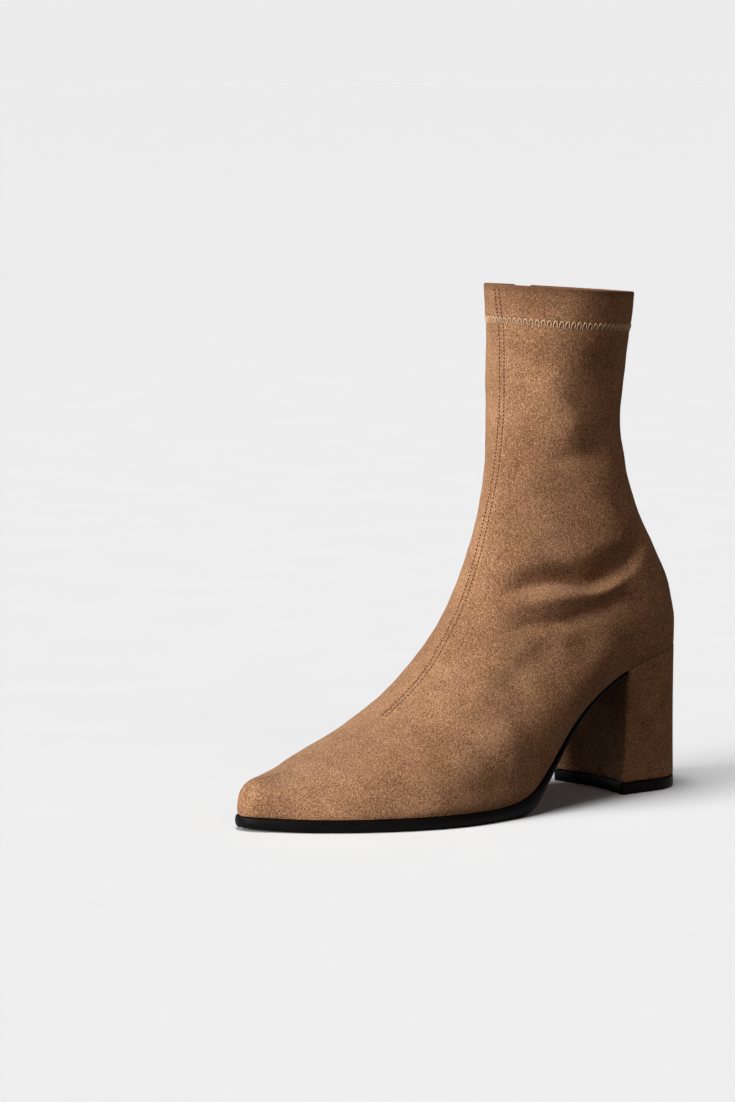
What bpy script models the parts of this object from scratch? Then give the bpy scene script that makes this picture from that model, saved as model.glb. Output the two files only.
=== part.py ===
"""Block heel ankle boot for the left foot: a stretch suede sock boot with a pointed toe and an inner side zip.

Metres. +X runs to the toe, +Y to the outer side of the foot and +Z up from the floor.
The origin is on the floor, under the middle of the boot's box.
"""

import math
from collections import namedtuple

import bmesh
import bpy
import numpy as np
from mathutils import Matrix, Vector

# Driving sizes of the last
LENGTH = 0.253  # tip of the sole to the back of the heel
BALL_WIDTH = 0.086  # feather line to feather line, across the ball
HEEL_HEIGHT = 0.0730  # floor to the feather line, at the back of the heel
BOOT_HEIGHT = 0.248  # floor to the middle of the collar
HEEL_AXIS_Y = -0.005  # the heel and the leg stand this far to the inner side of the box's middle

# Wall, sole and heel
GAP = 0.0003  # between pieces that touch
WALL = 0.0018  # suede bonded to its lining
SOLE_EDGE = 0.0062  # outsole at the tread
WAIST_EDGE = 0.0026  # outsole under the arch and at the heel breast
SOLE_OVERHANG = 0.0010  # sole beyond the upper
SOLE_BULGE = 0.0005  # middle of the sole's edge beyond its top line
SOLE_CHAMFER = 0.0014  # bottom line of the sole inside its top line
SOLE_BULGE_AT = 0.55  # height of the bulge, as a share of the sole's edge
INSOLE = 0.0030
INSOLE_SHORT = 0.0060  # the insole ends this far behind the toe's tip
INSOLE_CLEAR = 0.0011  # between the insole's edge and the wall
HEEL_WIDTH = 0.0540  # at the floor
HEEL_BREAST_X = -0.0790  # at the floor
HEEL_SEAT_X = -0.0815  # heel breast where it meets the outsole
HEEL_BACK_X = -0.1234  # at the floor
HEEL_CORNER = 0.0215  # back corners of the heel, in plan
BREAST_HOLLOW = 0.0040  # depth of the heel breast's hollow at the floor. It runs out at the outsole.
TOP_LIFT = 0.0058

# Zip on the inner side of the leg
ZIP_TOP = (-0.0630, 0.2420)  # x and z of the chain's upper end
ZIP_FOOT = (-0.0700, 0.0860)  # x and z of the chain's lower end
SLIT_WIDTH = 0.0086
SLIT_DEPTH = (-0.0650, -0.0170)  # y from outside the wall to well inside it
SLIT_PAST_COLLAR = 0.0100
CHAIN_WIDTH = 0.0050
TAPE_WIDTH = 0.0085  # one tape, from the middle of the chain
TAPE = 0.0007
TAPE_TAIL = 0.0040  # tape below the chain
SLIDER_LENGTH = 0.0100
SLIDER_WIDTH = 0.0076
SLIDER_PLATE = 0.0015
SLIDER_WING = 0.0009
SLIDER_GRIP = 0.0009  # the wings reach this far in past the wall's outer face
BRIDGE_RADIUS = 0.0007
BRIDGE_RISE = 0.0031  # middle of the bridge's bar over the slider's plate
BRIDGE_LENGTH = 0.0076  # between the middles of its two legs
BRIDGE_BEND = 0.0009  # its two corners
HINGE_DROP = 0.0016  # the tab's crossbar under the middle of the slider
TAB_LENGTH = 0.0235
TAB_WIDTH = 0.0052
TAB = 0.0011
CROSSBAR = 0.00066  # half the height of the tab's bar over the slot
TAB_SLOT = (0.0028, 0.0072)  # width and length of the slot that the bridge passes through
TAB_CURL = 0.0016  # the tab's end stands this far out
TAB_CURL_FROM = 0.45  # where the curl starts, as a share of the tab's length

# The tab's outline from its crossbar down. along is a share of its length, width is a share of TAB_WIDTH.
TabRow = namedtuple("TabRow", "along width")
TAB_OUTLINE = [
    TabRow(0.00, 0.90),
    TabRow(0.03, 1.00),
    TabRow(0.36, 1.00),
    TabRow(0.46, 0.86),
    TabRow(0.58, 0.84),
    TabRow(0.70, 0.90),
    TabRow(0.82, 0.98),
    TabRow(0.92, 0.96),
    TabRow(0.97, 0.84),
    TabRow(1.00, 0.60),
]

# Fineness of the faceted solids
FOOT_ROWS = 36
LEG_ROWS = 20
HALF_COLUMNS = 14
SOLE_ROWS = 48
HEEL_COLUMNS = 26
BREAST_COLUMNS = 8
ZIP_ROWS = 22
TAPE_COLUMNS = 4
CHAIN_COLUMNS = 3
HEEL_LEVELS = 7
SLIT_TURN = 9
CORNER_COLUMNS = 15
FINE = 60
LEG_CROWDING = 1.6  # the leg's rows crowd towards the heel, as the foot's rows do from the other side
SOLE_CROWDING = 1.5  # the sole's rows crowd towards the tip
FRAME_STEP = 0.0005  # over which the wall's slope is measured

SUEDE = ("suede", (0.36, 0.205, 0.105), 0.95, 0.0)
BLACK_RUBBER = ("black rubber", (0.012, 0.010, 0.010), 0.45, 0.0)
LINING = ("lining", (0.44, 0.33, 0.23), 0.9, 0.0)
BROWN_TAPE = ("zip tape", (0.07, 0.04, 0.025), 0.85, 0.0)
BRONZE = ("zip chain", (0.30, 0.21, 0.13), 0.4, 0.8)
STEEL = ("polished zip metal", (0.62, 0.61, 0.60), 0.2, 1.0)

# The feather line's plan, from heel to toe. along is a share of LENGTH, half and centre of BALL_WIDTH.
Plan = namedtuple("Plan", "along half centre")
PLAN = [
    Plan(0.000, 0.000, 0.000),
    Plan(0.034, 0.227, 0.000),
    Plan(0.069, 0.298, 0.000),
    Plan(0.117, 0.328, 0.000),
    Plan(0.184, 0.330, 0.006),
    Plan(0.302, 0.349, 0.023),
    Plan(0.421, 0.424, 0.047),
    Plan(0.540, 0.483, 0.058),
    Plan(0.638, 0.500, 0.058),
    Plan(0.737, 0.459, 0.035),
    Plan(0.836, 0.360, -0.006),
    Plan(0.915, 0.240, -0.058),
    Plan(0.963, 0.134, -0.093),
    Plan(0.995, 0.000, -0.108),
]

# The feather line's height. along is a share of LENGTH, height is a share of HEEL_HEIGHT.
Rise = namedtuple("Rise", "along height")
FEATHER = [
    Rise(0.000, 1.000),
    Rise(0.085, 0.940),
    Rise(0.174, 0.856),
    Rise(0.277, 0.671),
    Rise(0.347, 0.494),
    Rise(0.408, 0.301),
    Rise(0.460, 0.164),
    Rise(0.532, 0.0965),
    Rise(0.640, 0.087),
    Rise(0.780, 0.086),
    Rise(0.880, 0.086),
    Rise(0.995, 0.0917),
]

# The upper's tip as a share of LENGTH. The sole's edge takes up the rest.
TOE_TIP = 0.995

# The outsole's thickness between its top and its bottom. 0 is WAIST_EDGE, 1 is SOLE_EDGE, and it is thickest
# just behind the tread.
Thickness = namedtuple("Thickness", "along share")
SOLE_THICKNESS = [
    Thickness(0.170, 0.00),
    Thickness(0.330, 0.14),
    Thickness(0.390, 0.50),
    Thickness(0.420, 0.94),
    Thickness(0.450, 1.60),
    Thickness(0.480, 1.65),
    Thickness(0.510, 1.35),
    Thickness(0.560, 1.00),
]
TREAD = (0.570, 0.900)  # the forefoot's flat spot, as shares of LENGTH
TOE_SPRING = 0.0016  # rise of the sole's underside at the tip

# Sections of the upper, each in a plane across the foot from a low point to a high point on the front seam.
# A foot section's low point is on the feather line, and a leg section's is on the back seam.
# low, high: shares of LENGTH. low_up, high_up: shares of BOOT_HEIGHT. half, lean: shares of BALL_WIDTH.
# belly: height of the widest place, as a share of the section. crown: 2 is an ellipse, more is squarer.
Section = namedtuple("Section", "name low low_up high high_up half lean belly crown_outer crown_inner")
FOOT = [
    Section("tip", 0.9950, None, 0.9950, 0.0270, 0.000, -0.108, 0.35, 2.0, 2.0),
    Section("nose", 0.9802, None, 0.9775, 0.0790, 0.098, -0.105, 0.35, 2.1, 2.3),
    Section("toe", 0.9387, None, 0.9328, 0.0965, 0.195, -0.095, 0.32, 2.0, 2.5),
    Section("vamp", 0.8478, None, 0.8320, 0.1280, 0.352, -0.070, 0.27, 1.9, 2.5),
    Section("ball", 0.7055, None, 0.6976, 0.1840, 0.490, -0.029, 0.22, 1.9, 2.4),
    Section("tread", 0.5711, None, 0.5949, 0.2661, 0.500, 0.000, 0.20, 1.9, 2.3),
    Section("instep", 0.4130, None, 0.5316, 0.3468, 0.453, 0.000, 0.22, 1.9, 2.2),
    Section("arch", 0.2708, None, 0.4874, 0.4294, 0.407, 0.000, 0.25, 1.9, 2.2),
    Section("seat", 0.1364, None, 0.4565, 0.5141, 0.380, 0.000, 0.30, 1.9, 2.3),
    Section("heel", 0.0000, None, 0.4328, 0.5988, 0.366, 0.000, 0.37, 1.9, 2.4),
]
LEG = [
    Section("counter", 0.0000, 0.3387, 0.4217, 0.6452, 0.362, 0.000, 0.40, 1.9, 2.5),
    Section("back", 0.0178, 0.4032, 0.4146, 0.6895, 0.360, 0.000, 0.45, 1.9, 2.5),
    Section("tendon foot", 0.0600, 0.4798, 0.4095, 0.7379, 0.358, 0.000, 0.51, 2.0, 2.5),
    Section("tendon", 0.1050, 0.5605, 0.4071, 0.7903, 0.360, 0.000, 0.52, 2.0, 2.4),
    Section("ankle", 0.1320, 0.6452, 0.4067, 0.8427, 0.364, 0.000, 0.51, 2.0, 2.3),
    Section("leg", 0.1390, 0.7460, 0.4078, 0.8965, 0.368, 0.000, 0.50, 2.0, 2.2),
    Section("calf", 0.1290, 0.8669, 0.4112, 0.9560, 0.374, 0.000, 0.50, 2.0, 2.1),
    Section("collar", 0.1146, 0.9891, 0.4192, 1.0121, 0.383, 0.000, 0.50, 2.0, 2.0),
]


def smooth_through(knots, values):
    """A natural cubic spline through the values at rising knots, as a function of a number."""
    knots = np.asarray(knots, float)
    values = np.asarray(values, float)
    last = len(knots) - 1
    gaps = np.diff(knots)
    slopes = np.diff(values) / gaps
    system = np.eye(len(knots))
    right = np.zeros(len(knots))
    for i in range(1, last):
        system[i, i - 1 : i + 2] = gaps[i - 1], 2 * (gaps[i - 1] + gaps[i]), gaps[i]
        right[i] = 3 * (slopes[i] - slopes[i - 1])
    bends = np.linalg.solve(system, right)

    def at(where):
        i = min(max(int(np.searchsorted(knots, where, side="right")) - 1, 0), last - 1)
        step = where - knots[i]
        slope = slopes[i] - gaps[i] * (2 * bends[i] + bends[i + 1]) / 3
        turn = (bends[i + 1] - bends[i]) / (3 * gaps[i])
        return values[i] + step * (slope + step * (bends[i] + step * turn))

    return at


def x_of(along):
    return (along - 0.5) * LENGTH


def along_of(x):
    return x / LENGTH + 0.5


class Last:
    """The form that the boot is built on: its feather line, and the sections of the upper over it."""

    def __init__(self):
        self.half_square = smooth_through([r.along for r in PLAN], [(r.half * BALL_WIDTH) ** 2 for r in PLAN])
        self.centre = smooth_through([r.along for r in PLAN], [r.centre * BALL_WIDTH for r in PLAN])
        self.height = smooth_through([r.along for r in FEATHER], [r.height * HEEL_HEIGHT for r in FEATHER])
        self.place_sections()

    def feather_half(self, x):
        """Half the width of the feather line's plan. Its square is smooth, so both ends come out round."""
        return math.sqrt(max(self.half_square(along_of(x)), 0.0))

    def feather_centre(self, x):
        return HEEL_AXIS_Y + self.centre(along_of(x))

    def outline(self, places, inset):
        """The feather line moved in by an inset, square to itself, as x and half width for each place."""
        step = 1e-6 * LENGTH
        moved = []
        for x in places:
            near, far = max(x - step, x_of(0.0)), min(x + step, x_of(TOE_TIP))
            run = np.array([far - near, self.feather_half(far) - self.feather_half(near)])
            run /= np.linalg.norm(run)
            moved.append((x + inset * run[1], self.feather_half(x) - inset * run[0]))
        return moved

    def feather_height(self, x):
        return self.height(along_of(x))

    def place_sections(self):
        """Puts the sections on one station line, by how far their two ends move on average."""
        rows = FOOT + LEG
        low = []
        for row in rows:
            x = x_of(row.low)
            low.append((x, self.feather_height(x) if row.low_up is None else row.low_up * BOOT_HEIGHT))
        low = np.array(low)
        high = np.array([(x_of(row.high), row.high_up * BOOT_HEIGHT) for row in rows])
        moves = np.linalg.norm(np.diff(low, axis=0), axis=1) + np.linalg.norm(np.diff(high, axis=0), axis=1)
        stations = np.concatenate([[0.0], np.cumsum(moves / 2)])
        heel = len(FOOT) - 1
        self.heel_station = stations[heel]
        self.collar_station = stations[-1]
        self.foot_low_x = smooth_through(stations[: heel + 1], low[: heel + 1, 0])
        self.leg_low_x = smooth_through(stations[heel:], low[heel:, 0])
        self.leg_low_z = smooth_through(stations[heel:], low[heel:, 1])
        self.high_x = smooth_through(stations, high[:, 0])
        self.high_z = smooth_through(stations, high[:, 1])
        self.half_squares = smooth_through(stations, [(row.half * BALL_WIDTH) ** 2 for row in rows])
        self.lean = smooth_through(stations, [row.lean * BALL_WIDTH for row in rows])
        heights = np.linalg.norm(high - low, axis=1)
        crowns = [(1 - row.belly) * height for row, height in zip(rows, heights)]
        self.crown_height = smooth_through(stations, crowns)
        self.crowns = {
            1: smooth_through(stations, [row.crown_outer for row in rows]),
            -1: smooth_through(stations, [row.crown_inner for row in rows]),
        }

    def ends(self, station):
        """Low and high point of a section, as x and z."""
        if station <= self.heel_station:
            x = min(max(self.foot_low_x(station), x_of(0.0)), x_of(TOE_TIP))
            low = np.array([x, self.feather_height(x)])
        else:
            low = np.array([self.leg_low_x(station), self.leg_low_z(station)])
        return low, np.array([self.high_x(station), self.high_z(station)])

    def belly(self, station):
        """Share of a section under its widest place. The crown's own height is what runs on smoothly."""
        low, high = self.ends(station)
        height = np.linalg.norm(high - low)
        if height <= self.crown_height(station):
            return FOOT[0].belly
        return 1 - self.crown_height(station) / height

    def widths(self, station):
        """Half widths of a section at its low end and at its belly, and the sideways places of its two ends."""
        ridge = HEEL_AXIS_Y + self.lean(station)
        belly = math.sqrt(max(self.half_squares(station), 0.0))
        if station >= self.heel_station:
            return 0.0, belly, HEEL_AXIS_Y, ridge
        x = self.ends(station)[0][0]
        return min(self.feather_half(x), belly), belly, self.feather_centre(x), ridge

    def half_section(self, station, side, columns):
        """Points of one side of a section from its low end to its high end, evenly spaced."""
        foot, widest, centre, ridge = self.widths(station)
        belly, crown = self.belly(station), self.crowns[side](station)
        turn = np.linspace(0.0, math.pi / 2, FINE)
        up = np.concatenate([belly * (1 - np.cos(turn)), belly + (1 - belly) * np.sin(turn[1:]) ** (2 / crown)])
        lower = np.sqrt(np.maximum(widest**2 - (widest**2 - foot**2) * np.cos(turn) ** 2, 0.0))
        upper = widest * np.maximum(np.cos(turn[1:]), 0.0) ** (2 / crown)
        out = np.concatenate([lower, upper])
        low, high = self.ends(station)
        x, z = (low + up[:, None] * (high - low)).T
        y = centre + (ridge - centre) * up + side * out
        return evenly(np.stack([x, y, z], axis=1), columns)

    def section(self, station):
        """A whole section from its outer low end, over the front seam, to its inner low end."""
        outer = self.half_section(station, 1, HALF_COLUMNS)
        inner = self.half_section(station, -1, HALF_COLUMNS)
        return np.concatenate([outer, inner[-2::-1]])

    def wall_point(self, x, z, side):
        """The point of the leg's outer face at x and z, on the outer side (1) or the inner side (-1)."""
        near, far = 0.5 * self.heel_station, self.collar_station
        for _ in range(40):
            middle = (near + far) / 2
            low, high = self.ends(middle)
            reach = high - low
            over = reach[0] * (z - low[1]) - reach[1] * (x - low[0])
            near, far = (middle, far) if over > 0 else (near, middle)
        up = float(reach @ (np.array([x, z]) - low) / (reach @ reach))
        foot, widest, centre, ridge = self.widths(middle)
        belly, crown = self.belly(middle), self.crowns[side](middle)
        if up >= belly:
            out = widest * max(1 - ((up - belly) / (1 - belly)) ** crown, 0.0) ** (1 / crown)
        else:
            out = math.sqrt(max(widest**2 - (widest**2 - foot**2) * ((belly - up) / belly) ** 2, 0.0))
        return np.array([x, centre + (ridge - centre) * up + side * out, z])


def evenly(points, columns):
    """The same line with columns + 1 points, evenly spaced along it."""
    reach = np.concatenate([[0.0], np.cumsum(np.linalg.norm(np.diff(points, axis=0), axis=1))])
    if reach[-1] == 0.0:
        return np.repeat(points[:1], columns + 1, axis=0)
    wanted = np.linspace(0.0, reach[-1], columns + 1)
    return np.stack([np.interp(wanted, reach, points[:, k]) for k in range(3)], axis=1)


def eased(count):
    """Shares from 0 to 1 that crowd towards both ends."""
    return (1 - np.cos(np.linspace(0.0, math.pi, count))) / 2


def material_of(look):
    name, colour, roughness, metallic = look
    found = bpy.data.materials.get(name)
    if found:
        return found
    material = bpy.data.materials.new(name)
    material.use_nodes = True
    shader = material.node_tree.nodes["Principled BSDF"]
    shader.inputs["Base Color"].default_value = (*colour, 1.0)
    shader.inputs["Roughness"].default_value = roughness
    shader.inputs["Metallic"].default_value = metallic
    return material


def new_object(name, mesh, look, collection):
    mesh.materials.clear()
    mesh.materials.append(material_of(look))
    mesh.shade_smooth()
    mesh.set_sharp_from_angle(angle=math.radians(35))
    made = bpy.data.objects.new(name, mesh)
    collection.objects.link(made)
    return made


def mesh_of(name, bm, closed=True):
    """Welds what coincides and makes a mesh of it. A closed one has its faces turned out."""
    bmesh.ops.remove_doubles(bm, verts=bm.verts, dist=1e-6)
    bmesh.ops.dissolve_degenerate(bm, edges=bm.edges, dist=1e-7)
    if closed:
        bmesh.ops.recalc_face_normals(bm, faces=bm.faces)
    mesh = bpy.data.meshes.new(name)
    bm.to_mesh(mesh)
    bm.free()
    return mesh


def grid_mesh(name, rows):
    """An open surface through rows of points. Its face looks along row order crossed with point order."""
    bm = bmesh.new()
    lines = [[bm.verts.new(point) for point in row] for row in rows]
    for line, following in zip(lines, lines[1:]):
        for i in range(len(line) - 1):
            bm.faces.new((line[i], following[i], following[i + 1], line[i + 1]))
    return mesh_of(name, bm, closed=False)


def loft_mesh(name, loops):
    """A closed solid through closed loops of points, with flat ends."""
    bm = bmesh.new()
    rings = [[bm.verts.new(point) for point in loop] for loop in loops]
    for ring, following in zip(rings, rings[1:]):
        for i in range(len(ring)):
            j = (i + 1) % len(ring)
            bm.faces.new((ring[i], ring[j], following[j], following[i]))
    bm.faces.new(reversed(rings[0]))
    bm.faces.new(rings[-1])
    return mesh_of(name, bm)


def solidify(made, thickness):
    """Thickens an open surface inwards."""
    shell = made.modifiers.new("wall", "SOLIDIFY")
    shell.thickness = thickness
    shell.offset = -1.0
    shell.use_quality_normals = True


def boolean(made, operation, other):
    cut = made.modifiers.new(operation.lower() + " " + other.name, "BOOLEAN")
    cut.operation = operation
    cut.object = other


def hide(cutter):
    cutter.hide_render = True
    cutter.display_type = "WIRE"


def box_object(name, size, centre, frame, look, collection):
    """A box of that size, placed by a frame's axes."""
    bm = bmesh.new()
    bmesh.ops.create_cube(bm, size=1.0)
    bmesh.ops.scale(bm, vec=size, verts=bm.verts)
    bmesh.ops.translate(bm, vec=centre, verts=bm.verts)
    bmesh.ops.transform(bm, matrix=frame, verts=bm.verts)
    return new_object(name, mesh_of(name, bm), look, collection)


def build_upper(last, parts, cutters):
    """One wall from the toe to the collar, open underneath and slit on the inner side for the zip."""
    foot = last.heel_station * eased(FOOT_ROWS)
    foot = [0.0, *foot[foot > WALL]]  # no row lies nearer to the tip than the wall is thick
    rise = np.linspace(0.0, 1.0, LEG_ROWS + 1)[1:] ** LEG_CROWDING
    leg = last.heel_station + rise * (last.collar_station - last.heel_station)
    upper = new_object("upper", grid_mesh("upper", [last.section(s) for s in [*foot, *leg]]), SUEDE, parts)
    solidify(upper, WALL)
    slit = slit_cutter(cutters)
    boolean(upper, "DIFFERENCE", slit)


def zip_x(z):
    """The zip's straight line down the leg, seen from the side."""
    share = (z - ZIP_FOOT[1]) / (ZIP_TOP[1] - ZIP_FOOT[1])
    return ZIP_FOOT[0] + share * (ZIP_TOP[0] - ZIP_FOOT[0])


def slit_cutter(cutters):
    """A long slot with a round foot, which opens the inner wall from the collar down."""
    half = SLIT_WIDTH / 2
    foot_z = ZIP_FOOT[1]
    top_z = BOOT_HEIGHT + SLIT_PAST_COLLAR
    outline = [(zip_x(top_z) + half, top_z)]
    for angle in np.linspace(0.0, -math.pi, SLIT_TURN):
        outline.append((zip_x(foot_z) + half * math.cos(angle), foot_z + half * math.sin(angle)))
    outline.append((zip_x(top_z) - half, top_z))
    loops = [[(x, y, z) for x, z in outline] for y in SLIT_DEPTH]
    cutter = new_object("slit", loft_mesh("slit", loops), LINING, cutters)
    hide(cutter)
    return cutter


def sole_bottom(last, x):
    """The outsole's underside: flat under the tread, rising with the arch and a little at the toe."""
    along = along_of(x)
    if along >= TREAD[0]:
        rise = max(along - TREAD[1], 0.0) / (TOE_TIP - TREAD[1])
        return TOE_SPRING * rise**2
    thickness = smooth_through([r.along for r in SOLE_THICKNESS], [r.share for r in SOLE_THICKNESS])
    share = max(thickness(along), 0.0)
    return max(last.feather_height(x) - GAP - WAIST_EDGE - share * (SOLE_EDGE - WAIST_EDGE), 0.0)


def build_outsole(last, parts):
    """Forefoot and waist, from the toe's tip to the heel breast, with a rounded edge."""
    tip, end = x_of(TOE_TIP), HEEL_SEAT_X + GAP
    places = tip + np.linspace(0.0, 1.0, SOLE_ROWS) ** SOLE_CROWDING * (end - tip)
    loops = []
    for x, half in last.outline(places, -SOLE_OVERHANG):
        top, bottom = last.feather_height(x) - GAP, sole_bottom(last, x)
        slim = min(1.0, half / (4 * SOLE_CHAMFER))
        middle = bottom + SOLE_BULGE_AT * (top - bottom)
        profile = [(half, top), (half + slim * SOLE_BULGE, middle), (half - slim * SOLE_CHAMFER, bottom)]
        centre = last.feather_centre(x)
        outer = [(x, centre + y, z) for y, z in profile]
        inner = [(x, centre - y, z) for y, z in reversed(profile)]
        loops.append(outer + inner)
    new_object("outsole", loft_mesh("outsole", loops), BLACK_RUBBER, parts)


def build_insole(last, parts):
    """The inner sole inside the wall, on the outsole and the heel."""
    tip, back = x_of(TOE_TIP) - INSOLE_SHORT, x_of(0.0)
    places = tip + eased(SOLE_ROWS) * (back - tip)
    edge = INSOLE / 2
    loops = []
    for x, half in last.outline(places, WALL + INSOLE_CLEAR):
        half = max(half, 0.0)
        low = last.feather_height(x)
        centre = last.feather_centre(x)
        slim = min(edge, half / 2)
        outer = [(half, low), (half, low + edge), (half - slim, low + INSOLE)]
        inner = [(-y, z) for y, z in reversed(outer)]
        loops.append([(x, centre + y, z) for y, z in outer + inner])
    new_object("insole", loft_mesh("insole", loops), LINING, parts)


def heel_outline(sides, hollow):
    """A closed outline from a U of sides and back, and a breast that closes it with a hollow of that depth."""
    start, end = sides[-1], sides[0]
    breast = []
    for share in np.linspace(0.0, 1.0, BREAST_COLUMNS + 1)[1:-1]:
        depth = hollow * math.sin(math.pi * share)
        breast.append(start + share * (end - start) - np.array([depth, 0.0, 0.0]))
    return np.vstack([sides, breast])


def seat_outline(last):
    """The heel's top edge, on the feather line from the breast round the back."""
    back = x_of(0.0)
    front = HEEL_SEAT_X - back
    sides = {1: [], -1: []}
    for turn in np.linspace(math.pi / 2, 0.0, FINE):
        x = back + front * (1 - math.cos(turn))
        for side, points in sides.items():
            y = last.feather_centre(x) + side * last.feather_half(x)
            points.append((x, y, 0.0))
    return evenly(np.array(sides[1] + sides[-1][-2::-1]), HEEL_COLUMNS)


def floor_outline():
    """The heel's outline at the floor: straight sides, and a back with round corners."""
    half = HEEL_WIDTH / 2
    points = [(HEEL_BREAST_X, half, 0.0)]
    for corner_y, start in ((half - HEEL_CORNER, math.pi / 2), (HEEL_CORNER - half, math.pi)):
        for angle in np.linspace(start, start + math.pi / 2, CORNER_COLUMNS):
            x = HEEL_BACK_X + HEEL_CORNER * (1 + math.cos(angle))
            points.append((x, corner_y + HEEL_CORNER * math.sin(angle), 0.0))
    points.append((HEEL_BREAST_X, -half, 0.0))
    return evenly(np.array(points) + np.array([0.0, HEEL_AXIS_Y, 0.0]), HEEL_COLUMNS)


def build_heel(last, parts):
    """The covered heel block from the seat to the top lift, and the lift under it."""
    seat = heel_outline(seat_outline(last), 0.0)
    floor = heel_outline(floor_outline(), BREAST_HOLLOW)
    for point in seat:
        point[2] = last.feather_height(point[0]) - GAP
    sole = floor + np.array([0.0, 0.0, TOP_LIFT + GAP])
    levels = np.linspace(0.0, 1.0, HEEL_LEVELS)
    block = loft_mesh("heel_block", [seat + share * (sole - seat) for share in levels])
    new_object("heel_block", block, SUEDE, parts)
    lift = loft_mesh("heel_top_lift", [floor, floor + np.array([0.0, 0.0, TOP_LIFT])])
    new_object("heel_top_lift", lift, BLACK_RUBBER, parts)


def wall_frame(last, x, z):
    """Place and axes of the inner wall's outer face: across to the heel, out of the wall, and up the leg."""
    step = FRAME_STEP
    place = last.wall_point(x, z, -1)
    across = last.wall_point(x + step, z, -1) - last.wall_point(x - step, z, -1)
    up = last.wall_point(zip_x(z + step), z + step, -1) - last.wall_point(zip_x(z - step), z - step, -1)
    out = np.cross(across, up)
    up, out = up / np.linalg.norm(up), out / np.linalg.norm(out)
    return place, np.cross(out, up), out, up


def wall_strip(last, name, across, heights, depth, thickness, look, parts):
    """A strip that follows the inner wall at a depth under its outer face."""
    rows = []
    for z in heights:
        row = []
        for offset in across:
            place, _, out, _ = wall_frame(last, zip_x(z) + offset, z)
            row.append(place - depth * out)
        rows.append(row)
    strip = new_object(name, grid_mesh(name, rows), look, parts)
    solidify(strip, thickness)
    return strip


def build_zip(last, parts, cutters):
    """Two tapes behind the slit, the closed chain in it, the slider and the pull tab."""
    chain_heights = np.linspace(ZIP_FOOT[1], ZIP_TOP[1], ZIP_ROWS)
    tape_heights = np.linspace(ZIP_FOOT[1] - TAPE_TAIL, ZIP_TOP[1], ZIP_ROWS)
    for name, near, far in (("zip_tape_front", TAPE_WIDTH, GAP), ("zip_tape_back", -GAP, -TAPE_WIDTH)):
        offsets = np.linspace(near, far, TAPE_COLUMNS + 1)
        wall_strip(last, name, offsets, tape_heights, WALL + GAP, TAPE, BROWN_TAPE, parts)
    offsets = np.linspace(CHAIN_WIDTH / 2, -CHAIN_WIDTH / 2, CHAIN_COLUMNS + 1)
    wall_strip(last, "zip_chain", offsets, chain_heights, 0.0, WALL, BRONZE, parts)
    build_slider(last, parts, cutters)


def frame_matrix(place, across, out, up):
    return Matrix([[across[i], out[i], up[i], place[i]] for i in range(3)] + [[0, 0, 0, 1]])


def build_slider(last, parts, cutters):
    """A channel over the chain with a bridge, and the tab that swings on the bridge."""
    z = ZIP_TOP[1] - SLIDER_LENGTH / 2
    frame = frame_matrix(*wall_frame(last, zip_x(z), z))
    plate_out = GAP + SLIDER_PLATE
    depth = plate_out + SLIDER_GRIP
    size = (SLIDER_WIDTH, depth, SLIDER_LENGTH)
    slider = box_object("zip_slider", size, (0.0, plate_out - depth / 2, 0.0), frame, STEEL, parts)
    size = (SLIDER_WIDTH - 2 * SLIDER_WING, depth, 2 * SLIDER_LENGTH)
    channel = box_object("slider_channel", size, (0.0, GAP - depth / 2, 0.0), frame, STEEL, cutters)
    hide(channel)
    boolean(slider, "DIFFERENCE", channel)
    bridge = build_bridge(frame, plate_out, cutters)
    boolean(slider, "UNION", bridge)
    build_tab(frame, plate_out, parts, cutters)


def build_bridge(frame, plate_out, cutters):
    """A bar that leaves the plate, runs along the slider and goes back into it."""
    foot, top, reach = plate_out - SLIDER_PLATE / 2, plate_out + BRIDGE_RISE, BRIDGE_LENGTH / 2
    side = [(reach, foot), (reach, top - BRIDGE_BEND), (reach - BRIDGE_BEND, top)]
    route = side + [(-up, out) for up, out in reversed(side)]
    curve = bpy.data.curves.new("bridge", "CURVE")
    curve.dimensions = "3D"
    curve.bevel_depth = BRIDGE_RADIUS
    curve.bevel_resolution = 2
    curve.use_fill_caps = True
    spline = curve.splines.new("POLY")
    spline.points.add(len(route) - 1)
    for point, (up, out) in zip(spline.points, route):
        point.co = (*(frame @ Vector((0.0, out, up))), 1.0)
    bar = bpy.data.objects.new("bridge bar", curve)
    cutters.objects.link(bar)
    bpy.context.view_layer.update()
    mesh = bpy.data.meshes.new_from_object(bar.evaluated_get(bpy.context.evaluated_depsgraph_get()))
    bpy.data.objects.remove(bar)
    bm = bmesh.new()
    bm.from_mesh(mesh)
    bridge = new_object("bridge", mesh_of("bridge", bm), STEEL, cutters)
    hide(bridge)
    return bridge


def hinge_place(plate_out):
    """Where the tab's crossbar lies under the bridge, out of the wall and up the leg."""
    return plate_out + (BRIDGE_RISE - BRIDGE_RADIUS) / 2, -HINGE_DROP


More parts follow.
